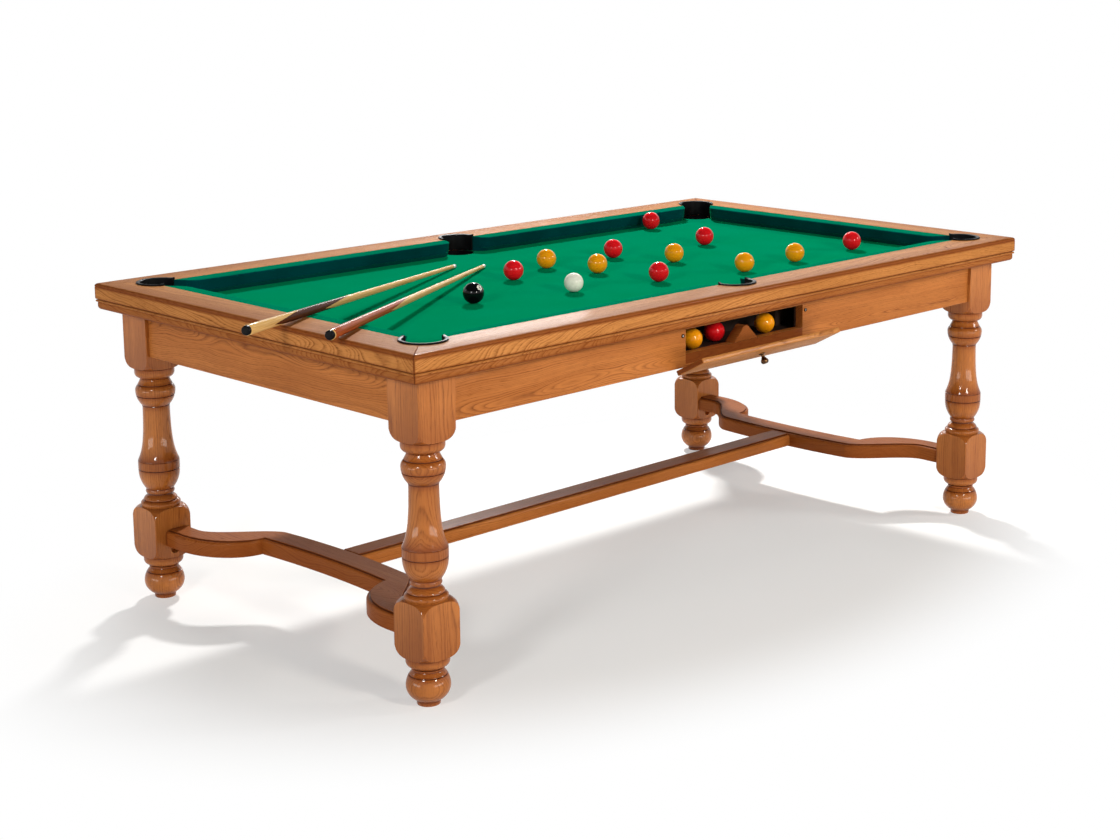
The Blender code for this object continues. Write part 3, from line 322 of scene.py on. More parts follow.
# What lies under the bed, riven slate, birch plywood and sawn oak: matt, in two near shades
hiddenFinish = {  # two shades, fleck in mm, roughness
    "slate": ("#4A4D50", "#5C6062", 30.0, 0.75),
    # the plywood's dark browns are painted shade of the ball tray's inside
    "plywood": ("#35231A", "#291A12", 14.0, 0.6),
    "bearer": ("#6A4527", "#4F3119", 18.0, 0.7),
}


def makeHidden(name, dark, pale, fleckMm, roughness):
    material, tree, shader = startMaterial(name, Roughness=roughness)
    place = addNode(tree, "TexCoord", out="Object")
    fleck = drawnNoise(tree, place, fleckMm * 1000 / 60, fleckMm, Detail=5.0)
    body = blend(tree, fleck, linear(dark), linear(pale))
    plug(tree, shader, Base_Color=body, Normal=relief(tree, fleck, 0.2, 0.0008))
    return material


rivenSlate = makeHidden("slateRiven", *hiddenFinish["slate"])
plywoodShaded = makeHidden("birchPlywoodShadeDark", *hiddenFinish["plywood"])
sawnOak = makeHidden("oakSawn", *hiddenFinish["bearer"])
print("materials made:", len(bpy.data.materials))


# Mesh helpers: a loft through rings, a piece from a mesh, the grain of its board
def loft(rings, capStart=True, capEnd=True):
    count = len(rings[0])
    points = [p for ring in rings for p in ring]
    last = len(points) - count
    faces = []
    for a in range(0, last, count):
        b = a + count
        faces += [(a + j, a + (j + 1) % count, b + (j + 1) % count, b + j) for j in range(count)]
    if capStart:
        faces.append(tuple(range(count))[::-1])
    if capEnd:
        faces.append(tuple(range(last, last + count)))
    return points, faces


def buildMesh(name, points, faces, stainAndShade=None):
    mesh = bpy.data.meshes.new(name)
    mesh.from_pydata([tuple(p) for p in points], [], faces)
    if stainAndShade is not None:
        stored = mesh.attributes.new("stainAndShade", "FLOAT", "POINT")
        stored.data.foreach_set("value", np.array(stainAndShade, np.float32))
    bm = bmesh.new()
    bm.from_mesh(mesh)
    bmesh.ops.remove_doubles(bm, verts=bm.verts, dist=1e-6)
    bmesh.ops.recalc_face_normals(bm, faces=bm.faces)
    bm.to_mesh(mesh)
    bm.free()
    return mesh


def cutMesh(mesh, cutters):
    work = bpy.data.objects.new("work", mesh)
    tools = [bpy.data.objects.new("cutter", cutter) for cutter in cutters]
    for added in [work] + tools:
        scene.collection.objects.link(added)
    for tool in tools:
        modifier = work.modifiers.new("cut", "BOOLEAN")
        modifier.object = tool
        modifier.operation = "DIFFERENCE"
        modifier.solver = "EXACT"
    bpy.context.view_layer.update()
    graph = bpy.context.evaluated_depsgraph_get()
    result = bpy.data.meshes.new_from_object(work.evaluated_get(graph))
    for old in [work] + tools:
        bpy.data.objects.remove(old, do_unlink=True)
    return result


def addPiece(name, mesh, body, replaced, materials, crease=35.0, grain=None):
    mesh.name = name
    mesh.materials.clear()
    for material in materials:
        mesh.materials.append(material)
    mesh.shade_smooth()
    mesh.set_sharp_from_angle(angle=math.radians(crease))
    if grain:
        setGrain(mesh, *grain)
    piece = bpy.data.objects.new(name, mesh)
    scene.collection.objects.link(piece)
    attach(piece, body)
    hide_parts(*replaced)
    return piece


def setGrain(mesh, along, across, pith, lean=(0.0, 0.02), fromButt=False):
    # where each point lay in its plank, in metres: along the grain, then two distances from the pith
    places = np.empty(len(mesh.vertices) * 3, np.float64)
    mesh.vertices.foreach_get("co", places)
    places = places.reshape(-1, 3)
    if not fromButt:
        places = places - (places.min(0) + places.max(0)) / 2
    along, across = Vector(along), Vector(across)
    through = along.cross(across)
    plank = np.stack([places @ np.array(axis) for axis in (along, across, through)], axis=1)
    if not fromButt:
        plank[:, 1] += pith[0] + lean[0] * plank[:, 0]
        plank[:, 2] += pith[1] + lean[1] * plank[:, 0]
        plank[:, 0] += chance.uniform(-8, 8)
    stored = mesh.attributes.get("grain") or mesh.attributes.new("grain", "FLOAT_VECTOR", "POINT")
    stored.data.foreach_set("vector", plank.astype(np.float32).ravel())


def turnedBy(degrees, axis="Z"):
    return Matrix.Rotation(math.radians(degrees), 4, axis)


def arcPoints(centre, radius, start, end, count):
    turns = [math.radians(start + (end - start) * i / count) for i in range(count + 1)]
    return [(centre[0] + radius * math.cos(t), centre[1] + radius * math.sin(t)) for t in turns]


def shrunk(section, amount):
    # a closed outline moved inward, for softened ends
    moved = []
    area = sum(a[0] * b[1] - b[0] * a[1] for a, b in zip(section, section[1:] + section[:1]))
    sign = 1 if area > 0 else -1
    for i, here in enumerate(section):
        before, after = Vector(section[i - 1][:2]), Vector(section[(i + 1) % len(section)][:2])
        tangent = after - before
        tangent = tangent.normalized() if tangent.length > 1e-9 else Vector((1, 0))
        inward = Vector((-tangent.y, tangent.x)) * sign
        moved.append((here[0] + inward.x * amount, here[1] + inward.y * amount))
    return moved


def turnedRings(profile, steps, centre=(0, 0)):
    x, y = centre
    turns = [2 * math.pi * i / steps for i in range(steps)]
    return [[(x + r * math.cos(t), y + r * math.sin(t), z) for t in turns] for r, z in profile]


def turnedMesh(profile, steps=48, centre=(0, 0)):
    return buildMesh("turned", *loft(turnedRings(profile, steps, centre)))


def boxMesh(low, high):
    ring = [(low[0], low[1]), (high[0], low[1]), (high[0], high[1]), (low[0], high[1])]
    return buildMesh("cutter", *loft([[(x, y, z) for x, y in ring] for z in (low[2], high[2])]))


# Legs: one turning held to a square blank, so every arch on the blocks is the real meeting line
legTurning = {
    "arris": 0.0012, "columns": 96, "shoulderRows": 10, "shoulderHeight": 0.028, "shoulderShade": 0.35,
    "dropWall": 0.026, "dropFloor": 0.662, "headEnd": 0.578, "footTop": 0.233, "footEnd": 0.108,
    "bead": 0.0474, "grooveDepth": 0.0016, "grooveHalf": 0.0011, "column": (0.4815, 0.3490),
    "columnRadius": 0.0318, "flare": (0.0174, 0.034), "flareShade": 0.70, "columnRing": 0.3480,
    "cup": (0.3240, 0.2775), "cupRadius": (0.0490, 0.0335), "shadeSpread": (0.62, 0.008),
    "boltRadius": 0.0135, "boltDepth": 0.014, "boltInward": 0.004, "boltDrop": 0.010, "boltProud": 0.002,
    "pith": ((0.03, 0.09), (0.06, 0.11)),
}


def ballRows(top, bottom, middle, widest, topRadius, bottomRadius, count=14):
    upper = (top - middle) / math.sqrt(1 - (topRadius / widest) ** 2)
    lower = (middle - bottom) / math.sqrt(1 - (bottomRadius / widest) ** 2)
    start, end = math.acos(topRadius / widest), -math.acos(bottomRadius / widest)
    rows = []
    for i in range(count + 1):
        turn = start + (end - start) * i / count
        height = upper if turn > 0 else lower
        rows.append((middle + height * math.sin(turn), widest * math.cos(turn), 0.0))
    return rows


def grooved(rows, level, turning):
    # a narrow V cut with the point of the skew chisel, where stain gathers and shade is painted
    heights = [r[0] for r in rows][::-1]
    radii = [r[1] for r in rows][::-1]
    half = turning["grooveHalf"]
    kept = [r for r in rows if abs(r[0] - level) > half * 1.2]
    for share, cut, stainAndShade in ((1, 0.0, 0.25), (0.3, 1.0, 1.0), (-0.3, 1.0, 1.0), (-1, 0.0, 0.25)):
        z = level + half * share
        kept.append((z, float(np.interp(z, heights, radii)) - cut * turning["grooveDepth"], stainAndShade))
    return sorted(kept, key=lambda r: -r[0])


def beadRows(end, bead, straight, radius):
    # the bead under a block, from its quirk round to the neck
    rows = [(end - 0.0005, bead - 0.0016, 1.0), (end - 0.0016, bead, 0.3), (end - straight, bead, 0.0)]
    arc = arcPoints((bead - radius, end - straight), radius, 0, -78, 8)[1:]
    return rows + [(z, r, 0.0) for r, z in arc]


def spindleRows(turning):
    # rows down the turning as (height, radius, darkening), the darkening being stain and painted shade in
    # necks and quirks
    bead = turning["bead"]
    rows = beadRows(turning["headEnd"], bead, 0.011, 0.014)
    rows += [(0.5545, 0.0338, 0.9), (0.5530, 0.0334, 0.9), (0.5520, 0.0342, 0.3)]
    rows += [(0.5520 - 0.0145 * i / 6, 0.0342 + 0.0066 * (i / 6) ** 1.25, 0.0) for i in range(1, 7)]
    rows += [(0.5368, 0.0396, 1.0), (0.5360, 0.0398, 1.0)]
    rows += grooved(ballRows(0.5356, 0.4860, 0.5225, bead, 0.0414, 0.0334, 20), 0.5090, turning)
    rows += [(0.4850, 0.0326, 1.0), (0.4838, 0.0330, 0.8), (turning["column"][0], 0.0322, 0.1)]
    top, foot = turning["column"]
    ring, (widening, length) = turning["columnRing"], turning["flare"]
    for i in range(1, 15):
        share = i / 14
        z = top - (top - foot) * share
        radius = turning["columnRadius"] + widening * math.exp((ring - z) / length)
        # painted shade with stain, growing darker toward the ring at the foot of the flare
        rows.append((z, radius, turning["flareShade"] * share**8))
    rows += [(ring, 0.0488, 0.5), (0.3474, 0.0482, 1.0), (0.3466, 0.0492, 0.4), (0.3440, 0.0493, 0.0)]
    rows += [(0.3300, 0.0493, 0.0), (0.3272, 0.0493, 0.3), (0.3264, 0.0478, 1.0), (0.3256, 0.0478, 1.0)]
    rows += [(0.3248, 0.0491, 0.3)]
    top, foot = turning["cup"]
    widest, neck = turning["cupRadius"]
    for i in range(1, 11):
        share = i / 10
        rows.append((top - (top - foot) * share, neck + (widest - neck) * (1 - share**2.2), 0.0))
    rows += [(0.2768, 0.0326, 1.0), (0.2758, 0.0330, 0.4), (0.2700, 0.0345, 0.0), (0.2665, 0.0333, 0.3)]
    rows += [(0.2655, 0.0305, 1.0), (0.2625, 0.0300, 0.8), (0.2612, 0.0308, 0.4)]
    for i in range(1, 7):
        rows.append((0.2612 - 0.0112 * i / 6, 0.0308 + 0.0094 * math.sin(math.pi * i / 12), 0.0))
    rows += [(0.2492, 0.0392, 0.6), (0.2485, 0.0382, 1.0)]
    return rows + ballRows(0.2480, turning["footTop"] + 0.0008, 0.2405, bead, 0.0400, 0.0448, 10)


def footRows(turning):
    rows = beadRows(turning["footEnd"], turning["bead"], 0.010, 0.013)
    rows += [(0.0840, 0.0350, 0.9), (0.0826, 0.0338, 0.9), (0.0816, 0.0350, 0.4), (0.0790, 0.0352, 0.0)]
    rows += [(0.0775, 0.0335, 0.9)] + ballRows(0.0762, 0.0105, 0.0430, 0.0480, 0.0340, 0.0275, 22)
    return grooved(rows, 0.0668, turning) + [(0.0100, 0.0258, 0.8), (0.0015, 0.0255, 0.3), (0.0, 0.0245, 0.3)]


def legMesh(turning, top, half, bolt):
    # one column of points for each direction, with two at each softened corner of the blank
    columns, bevel = turning["columns"], half - turning["arris"] * math.sqrt(2)
    flat = math.atan2(bevel, half)
    turns = []
    for i in range(columns):
        turn = 2 * math.pi * i / columns
        if i % (columns // 4) == columns // 8:
            quarter = math.floor(turn / (math.pi / 2)) * math.pi / 2
            turns += [quarter + flat, quarter + math.pi / 2 - flat]
        else:
            turns.append(turn)
    turns = np.array(turns)
    cosine, sine = np.cos(turns), np.sin(turns)
    blank = half / np.maximum(abs(cosine), abs(sine))
    corner = half * math.sqrt(2) - turning["arris"]
    blank = np.minimum(blank, corner / np.cos((turns % (math.pi / 2)) - math.pi / 4))
    widest = corner + 0.0003
    bead, rise = turning["bead"], turning["shoulderHeight"]
    meets = np.arccos(np.clip((blank - bead) / (widest - bead), -1, 1))
    rings, stainAndShade = [(blank, np.full_like(turns, turning["dropFloor"]))], [0.0]
    last = turning["shoulderRows"]

    def shoulder(spindleZ, direction, order):
        # from the block's faces round to the spindle: direction is -1 below a block, 1 above it
        for i in order:
            turn = meets + (math.pi / 2 - meets) * i / last
            level = spindleZ - direction * rise * (1 - np.sin(turn))
            rings.append((bead + (widest - bead) * np.cos(turn), level))
            # painted shade on the shoulders between the arches
            stainAndShade.append(turning["shoulderShade"] if 0 < i < last else 0.0)

    def spindle(rows):
        for z, radius, darkening in rows:
            rings.append((np.full_like(turns, radius), np.full_like(turns, z)))
            stainAndShade.append(darkening)

    shoulder(turning["headEnd"], -1, range(last + 1))
    spindle(spindleRows(turning))
    shoulder(turning["footTop"], 1, range(last, -1, -1))
    shoulder(turning["footEnd"], -1, range(last + 1))
    spindle(footRows(turning))
    # painted shade spreads a few millimetres to each side of every quirk
    most, reach = turning["shadeSpread"]
    levels = np.array([float(z.mean()) for _, z in rings])
    quirks = levels[np.array(stainAndShade) >= 0.8]
    stainAndShade = [max(g, most * math.exp(-abs(quirks - level).min() / reach)) for g, level in zip(stainAndShade, levels)]
    loops = [list(zip(radius * cosine, radius * sine, z)) for radius, z in rings]
    turned = cutMesh(buildMesh("leg", *loft(loops), [g for g in stainAndShade for _ in turns]), [bolt])
    # above the ball drop the head is two walls that meet in an L
    reach = half - turning["dropWall"]
    plan = [(-half, half), (bevel, half), (half, bevel), (half, -half)]
    plan += [(reach, -half), (reach, reach), (-half, reach)]
    wall = [[(x, y, z) for x, y in plan] for z in (turning["dropFloor"], top)]
    bm = bmesh.new()
    bm.from_mesh(turned)
    # the faces inside the ball drop take the darkest value, as painted shade
    bm.from_mesh(buildMesh("walls", *loft(wall), [0.0, 0.0, 0.0, 0.0, 1.0, 1.0, 1.0] * 2))
    bm.to_mesh(turned)
    bm.free()
    return turned


for legName, quarterTurn in (("back_right", 0), ("back_left", 90), ("front_left", 180), ("front_right", 270)):
    low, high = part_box("leg_" + legName)
    middle = (low + high) / 2
    place = Matrix.Translation((middle.x, middle.y, 0)) @ turnedBy(quarterTurn)
    # the bolt hole half hidden by the end stretcher
    inner, tip = (low.y, 90) if low.y > 0 else (high.y, -90)
    boltX = middle.x - math.copysign(legTurning["boltInward"], middle.x)
    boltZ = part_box("end_stretcher_left")[0].z - legTurning["boltDrop"]
    ends = (-legTurning["boltDepth"], legTurning["boltProud"])
    bolt = turnedMesh([(legTurning["boltRadius"], z) for z in ends], 32)
    bolt.transform(place.inverted() @ Matrix.Translation((boltX, inner, boltZ)) @ turnedBy(tip, "X"))
    mesh = legMesh(legTurning, high.z, (high.x - low.x) / 2, bolt)
    mesh.transform(place)
    pith = [chance.choice((-1, 1)) * chance.uniform(*limits) for limits in legTurning["pith"]]
    addPiece("legTurned_" + legName, mesh, "table", ["leg_" + legName], [spindleOak],
             grain=(upward, alongX, pith))
print("legs turned")

# Pockets: centres and radii that the rails, cushions, cloth and liners share
pocketPlan = {
    "cornerX": 0.950, "cornerY": 0.494, "middleY": 0.508, "radius": 0.044, "wall": 0.004, "rim": 0.009,
    "rimHeight": 0.003, "cornerTurn": 48.5, "cornerSpan": 243.0, "middleSpan": 196.0,
}
pocketPlaces = [  # name, centre, heading out of the table and degrees of rim
    ("middle_front", (0, -pocketPlan["middleY"]), -90, pocketPlan["middleSpan"]),
    ("middle_back", (0, pocketPlan["middleY"]), 90, pocketPlan["middleSpan"]),
]
for pocketName, sideX, sideY in (
    ("front_left", -1, -1), ("front_right", 1, -1), ("back_right", 1, 1), ("back_left", -1, 1),
):
    centre = (sideX * pocketPlan["cornerX"], sideY * pocketPlan["cornerY"])
    heading = sideY * (90 - sideX * (90 - pocketPlan["cornerTurn"]))
    pocketPlaces.append((pocketName, centre, heading, pocketPlan["cornerSpan"]))

# Rails: moulded section as (inward from the table's edge, below the rail's top, darkening), mitred at the
# corners; the darkening is painted shade on the top, the round edge and the lower round, and stain and
# painted shade in the quirks
railMoulding = {"topShade": 0.28, "edge": (0.0075, 0.0062), "edgeShade": 0.62, "lip": 0.042,
                "mitreSoft": 0.0011, "lowerSetback": 0.004, "lowerRound": 0.009, "gap": 0.0003}


def railSection(moulding):
    run, drop = moulding["edge"]
    width = halfWidth - cushionLineY
    depth = railTop - railBottom
    # painted shade over the whole top
    section = [(width, 0.0, moulding["topShade"])]
    # painted shade along the rounded top edge
    for i in range(9):
        turn = math.radians(90 * i / 8)
        darkening = max(moulding["topShade"], moulding["edgeShade"] * min(1.0, i / 4))
        section.append((run - run * math.sin(turn), drop - drop * math.cos(turn), darkening))
    section += [(0.0, drop + 0.0006, 0.6), (0.0006, drop + 0.0012, 0.75), (0.0006, drop + 0.0019, 0.75)]
    section += [(0.0, drop + 0.0024, 0.70), (0.0, drop + 0.0044, 0.45), (0.0, drop + 0.0080, 0.0)]
    section += [(0.0, 0.0335, 0.0), (0.0, 0.0362, 0.4), (0.0010, 0.0378, 0.65), (0.0046, 0.0382, 0.85)]
    section += [(0.0046, 0.0396, 0.8)]
    section += [(0.0034 + x, 0.0424 - y, 0.2) for x, y in arcPoints((0, 0), 0.0028, 100, 260, 8)]
    setback, radius = moulding["lowerSetback"], moulding["lowerRound"]
    section += [(0.0048, 0.0455, 0.8), (setback + 0.0004, 0.0462, 0.55), (setback, 0.0485, 0.38)]
    # painted shade, darker toward the bottom of the lower round
    for i, (x, y) in enumerate(arcPoints((0, 0), radius, 180, 270, 8)):
        section.append((setback + radius + x, depth - radius - y, 0.40 + 0.060 * i))
    inner = railTop - bedTop - moulding["gap"]
    return section + [(moulding["lip"], depth, 0.0), (moulding["lip"], inner, 0.0), (width, inner, 0.0)]


def railMesh(moulding, half, edge, quarterTurn, pockets):
    section = railSection(moulding)
    whole = [(d, -z) for d, z, _ in section]
    ends = [(shrunk(whole, moulding["mitreSoft"]), 0.00015, 1.0), (whole, 0.0014, 0.65), (whole, 0.0050, 0.0)]
    rings, stainAndShade = [], []
    for side, order in ((-1, ends), (1, ends[::-1])):
        for outline, inset, darkening in order:
            rings.append([(side * (half - d - inset), d - edge, railTop + z) for d, z in outline])
            stainAndShade += [max(darkening, s) for _, _, s in section]
    mesh = buildMesh("rail", *loft(rings), stainAndShade)
    mesh.transform(turnedBy(quarterTurn))
    reach = pocketPlan["radius"] + pocketPlan["wall"] + moulding["gap"]
    bore = [(reach, bedTop), (reach, railTop + 0.02)]
    centres = [centre for name, centre, _, _ in pocketPlaces if name in pockets]
    return cutMesh(mesh, [turnedMesh(bore, 96, centre) for centre in centres])


railPlan = [  # name, half length, edge, turn, pockets, grain, pith, lean of the pith
    ("front", halfLength, halfWidth, 0, ("front_left", "middle_front", "front_right"), alongX,
     (0.055, -0.100), 0.12),
    ("right", halfWidth, halfLength, 90, ("front_right", "back_right"), alongY, (0.050, 0.090), -0.10),
    ("back", halfLength, halfWidth, 180, ("back_right", "middle_back", "back_left"), alongX,
     (-0.050, 0.090), 0.08),
    ("left", halfWidth, halfLength, 270, ("back_left", "front_left"), alongY, (0.060, -0.120), 0.10),
]
for railName, half, edge, quarterTurn, pockets, along, pith, lean in railPlan:
    mesh = railMesh(railMoulding, half, edge, quarterTurn, pockets)
    addPiece("railMoulded_" + railName, mesh, "table", ["rail_" + railName], [railedOak],
             grain=(along, upward, pith, (0.0, lean)))
print("rails moulded")

# Aprons: planed boards with eased edges; the front one is cut for the ball return
apronBoard = {
    "ease": 0.0022, "topEase": 0.0006, "endEase": 0.0005, "openingLow": 0.646, "openingHigh": 0.704,
    "openingHalf": 0.212, "lipLow": 0.622, "lipShade": 0.60,
    "pith": {"front": (0.030, -0.032), "back": (-0.02, 0.05), "left": (-0.045, -0.05), "right": (0.03, 0.05)},
}


def boardSection(width, height, radii, steps=5):
    starts = ((0, 0, 180), (width, 0, 270), (width, height, 0), (0, height, 90))
    section = []
    for (x, y, start), radius in zip(starts, radii):
        centre = (x + (radius if x == 0 else -radius), y + (radius if y == 0 else -radius))
        section += arcPoints(centre, radius, start, start + 90, steps)
    return section


def boardMesh(length, section, endSoft, endStain=0.0):
    # a board along X from -length/2, its ends eased, with stain drawn into the end grain
    rings, stainAndShade = [], []
    soft = shrunk(section, endSoft)
    reach = length / 2 - endSoft
    for x, outline in ((-length / 2, soft), (-reach, section), (reach, section), (length / 2, soft)):
        rings.append([(x, y, z) for y, z in outline])
        stainAndShade += [endStain if outline is soft else 0.0] * len(section)
    return buildMesh("board", *loft(rings), stainAndShade)


def shadeLip(mesh, board):
    # painted shadow on the strip under the opening, where the flap keeps off the light
    half, low, high = board["openingHalf"], board["lipLow"], board["openingLow"]
    bm = bmesh.new()
    bm.from_mesh(mesh)
    cuts = [((x, 0, 0), alongX) for x in (half, -half)] + [((0, 0, z), upward) for z in (high, low)]
    for place, facing in cuts:
        everything = bm.verts[:] + bm.edges[:] + bm.faces[:]
        bmesh.ops.bisect_plane(bm, geom=everything, plane_co=place, plane_no=facing)
    lip = []
    for face in bm.faces:
        centre = face.calc_center_median()
        if face.normal.y < -0.9 and abs(centre.x) < half and low < centre.z < high:
            lip.append(face)
    bmesh.ops.split_edges(bm, edges=list({e for face in lip for e in face.edges}))
    stainAndShade = bm.verts.layers.float["stainAndShade"]
    for vert in {v for face in lip for v in face.verts}:
        vert[stainAndShade] = board["lipShade"]
    bm.to_mesh(mesh)
    bm.free()


for apronName, along in (("front", alongX), ("back", alongX), ("left", alongY), ("right", alongY)):
    low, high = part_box("apron_" + apronName)
    size, middle = high - low, (low + high) / 2
    length, thickness = (size.x, size.y) if along[0] else (size.y, size.x)
    eases = [apronBoard["ease"]] * 2 + [apronBoard["topEase"]] * 2
    mesh = boardMesh(length, boardSection(thickness, size.z, eases), apronBoard["endEase"])
    mesh.transform(Matrix.Translation((0, -thickness / 2, 0)))
    if along[1]:
        mesh.transform(turnedBy(90))
    mesh.transform(Matrix.Translation((middle.x, middle.y, low.z)))
    if apronName == "front":
        reach, past = apronBoard["openingHalf"], 0.01
        corner = (-reach, low.y - past, apronBoard["openingLow"])
        mesh = cutMesh(mesh, [boxMesh(corner, (reach, high.y + past, apronBoard["openingHigh"]))])
        shadeLip(mesh, apronBoard)
    addPiece("apronBoard_" + apronName, mesh, "table", ["apron_" + apronName], [lacqueredOak],
             grain=(along, upward, apronBoard["pith"][apronName]))
print("aprons planed")

# Stretchers: sawn to a bowed plan, then moulded along both upper edges with a round and a quirk
stretcherMould = {"round": 0.0075, "flat": 0.0018, "step": 0.0032, "quirk": 0.0006, "arris": 0.0008,
                  "endSideShade": 0.44, "endGrain": 0.75, "longSideShade": 0.10}
endStretcherPlan = {
    "legLine": 0.967, "reach": 0.4547, "endWidth": 0.066, "endOffset": 0.011, "bow": 0.151,
    "middleWidth": 0.080, "bowRise": 0.011, "stub": 0.0547, "sweep": 0.168, "ease": 0.180,
}


def mouldedMesh(pairs, bottom, top, mould, sideShade, endStain=0.0):
    # each pair is a station's two edge points in plan; the section runs up one edge and down the other
    step, radius, arris = top - mould["step"], mould["round"], mould["arris"]
    reach, quirk = radius + mould["flat"], step - mould["quirk"]
    side = [(arris, bottom), (0.0, bottom + arris), (0.0, step - radius)]
    side += arcPoints((radius, step - radius), radius, 180, 90, 6)[1:]
    side += [(reach - 0.0002, quirk), (reach + 0.0003, quirk)]
    side += [(reach + 0.0005, top - 0.0007), (reach + 0.0013, top)]
    # painted shade on the sides under the table, then stain and painted shade in the quirk
    darkening = [sideShade + more for more in (0.12, 0.10, 0.04, 0.0, 0.0, 0.02, 0.06, 0.12)]
    darkening += [0.70, 1, 1, 0.75, 0.42]
    rings = []
    for outer, inner in pairs:
        outer, inner = Vector(outer), Vector(inner)
        across = (inner - outer).normalized()
        ring = [(*(outer + across * s), z) for s, z in side]
        rings.append(ring + [(*(inner - across * s), z) for s, z in side[::-1]])
    darkening += darkening[::-1]
    ended = [max(s, endStain) for s in darkening]
    return buildMesh("stretcher", *loft(rings), ended + darkening * (len(pairs) - 2) + ended)


def endPairs(plan):
    line = -plan["legLine"]
    endOut = line + plan["endOffset"] - plan["endWidth"] / 2
    endIn = endOut + plan["endWidth"]
    bowOut = line + plan["bow"] - plan["middleWidth"] / 2
    bowIn = bowOut + plan["middleWidth"]
    cusp, rise = bowOut - plan["bowRise"], plan["bowRise"]
    start = plan["reach"] - plan["stub"]
    pairs = []
    for y in (plan["reach"], plan["reach"] - 0.010, plan["reach"] - plan["stub"] / 2):
        pairs.append(((endOut, y), (endIn, y)))
    for i in range(33):
        share = i / 32
        turn = math.radians(90 * share)
        outer = (cusp - (cusp - endOut) * math.cos(turn), start - plan["sweep"] * math.sin(turn))
        eased = share * share * (3 - 2 * share)
        pairs.append((outer, (endIn + (bowIn - rise - endIn) * eased, start - plan["ease"] * share)))
    for i in range(1, 17):
        share = 1 - i / 16
        outer = (bowOut - rise * share**2, (start - plan["sweep"]) * share)
        pairs.append((outer, (bowIn - rise * share**2, (start - plan["ease"]) * share)))
    return pairs + [((ox, -oy), (ix, -iy)) for (ox, oy), (ix, iy) in pairs[:-1][::-1]]


for endName, halfTurn in (("left", 0), ("right", 180)):
    low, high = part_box("end_stretcher_" + endName)
    mesh = mouldedMesh(endPairs(endStretcherPlan), low.z, high.z, stretcherMould, stretcherMould["endSideShade"],
                       stretcherMould["endGrain"])
    mesh.transform(turnedBy(halfTurn))
    addPiece("stretcherBowed_" + endName, mesh, "table", ["end_stretcher_" + endName], [bracedOak],
             crease=30, grain=(alongY, alongX, (0.04, -0.05)))
low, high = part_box("long_stretcher")
stations = [((x, low.y), (x, high.y)) for x in np.linspace(low.x, high.x, 9)]
mesh = mouldedMesh(stations, low.z, high.z, stretcherMould, stretcherMould["longSideShade"])
addPiece("stretcherLong", mesh, "table", ["long_stretcher"], [bracedOak],
         crease=30, grain=(alongX, alongY, (0.03, -0.06)))
print("stretchers moulded")

# Bed cloth: one piece stretched over the slate, cut out round the pockets
bedCloth = {"thickness": 0.001, "fold": 0.0004, "arcSteps": 24}


def bedOutline(edgeX, edgeY, radius, steps):
    cornerX, cornerY, middleY = pocketPlan["cornerX"], pocketPlan["cornerY"], pocketPlan["middleY"]
    quarter = [(0, middleY - radius)] + arcPoints((0, middleY), radius, -88, 0, steps) + [(radius, edgeY)]
    quarter += [(cornerX - radius, edgeY)] + arcPoints((cornerX, cornerY), radius, 180, 270, steps)
    quarter += [(edgeX, cornerY - radius)]
    right = quarter + [(x, -y) for x, y in quarter[::-1]]
    left = [(-x, y) for x, y in right[1:-1]]
    return right + left[::-1]


def clothMesh(cloth):
    rings = []
    fold = cloth["fold"]
    for inset, z in ((0.0, bedTop - cloth["thickness"]), (0.0, bedTop - fold), (fold, bedTop)):
        radius = pocketPlan["radius"] + inset
        outline = bedOutline(clothHigh.x - inset, clothHigh.y - inset, radius, cloth["arcSteps"])
        rings.append([(x, y, z) for x, y in outline])
    return buildMesh("cloth", *loft(rings))


mesh = clothMesh(bedCloth)
clothPiece = addPiece("bedClothStretched", mesh, "table", ["bed_cloth"], [woolCloth],
                      crease=20)
outline = bedOutline(clothHigh.x, clothHigh.y, pocketPlan["radius"], bedCloth["arcSteps"])

# Cushions: rubber noses under the same cloth, with rounded jaws at the pockets
cushionForm = {"width": 0.043, "drop": 0.0015, "noseRound": 0.003, "fold": 0.010, "undercut": 0.013,
               "jawRound": 0.024, "cornerAngle": 38.0, "middleAngle": 18.0, "clearance": 0.0006,
               "gap": 0.0004, "back": 0.0003, "tip": 0.02}


def jawPoints(wood, corner, along, radius, count=10):
    corner = Vector(corner)
    before = corner + (Vector(wood) - corner).normalized() * radius
    after = corner + (Vector(along) - corner).normalized() * radius
    steps = [i / count for i in range(count + 1)]
    return [tuple(before * (1 - t) ** 2 + corner * 2 * t * (1 - t) + after * t**2) for t in steps]


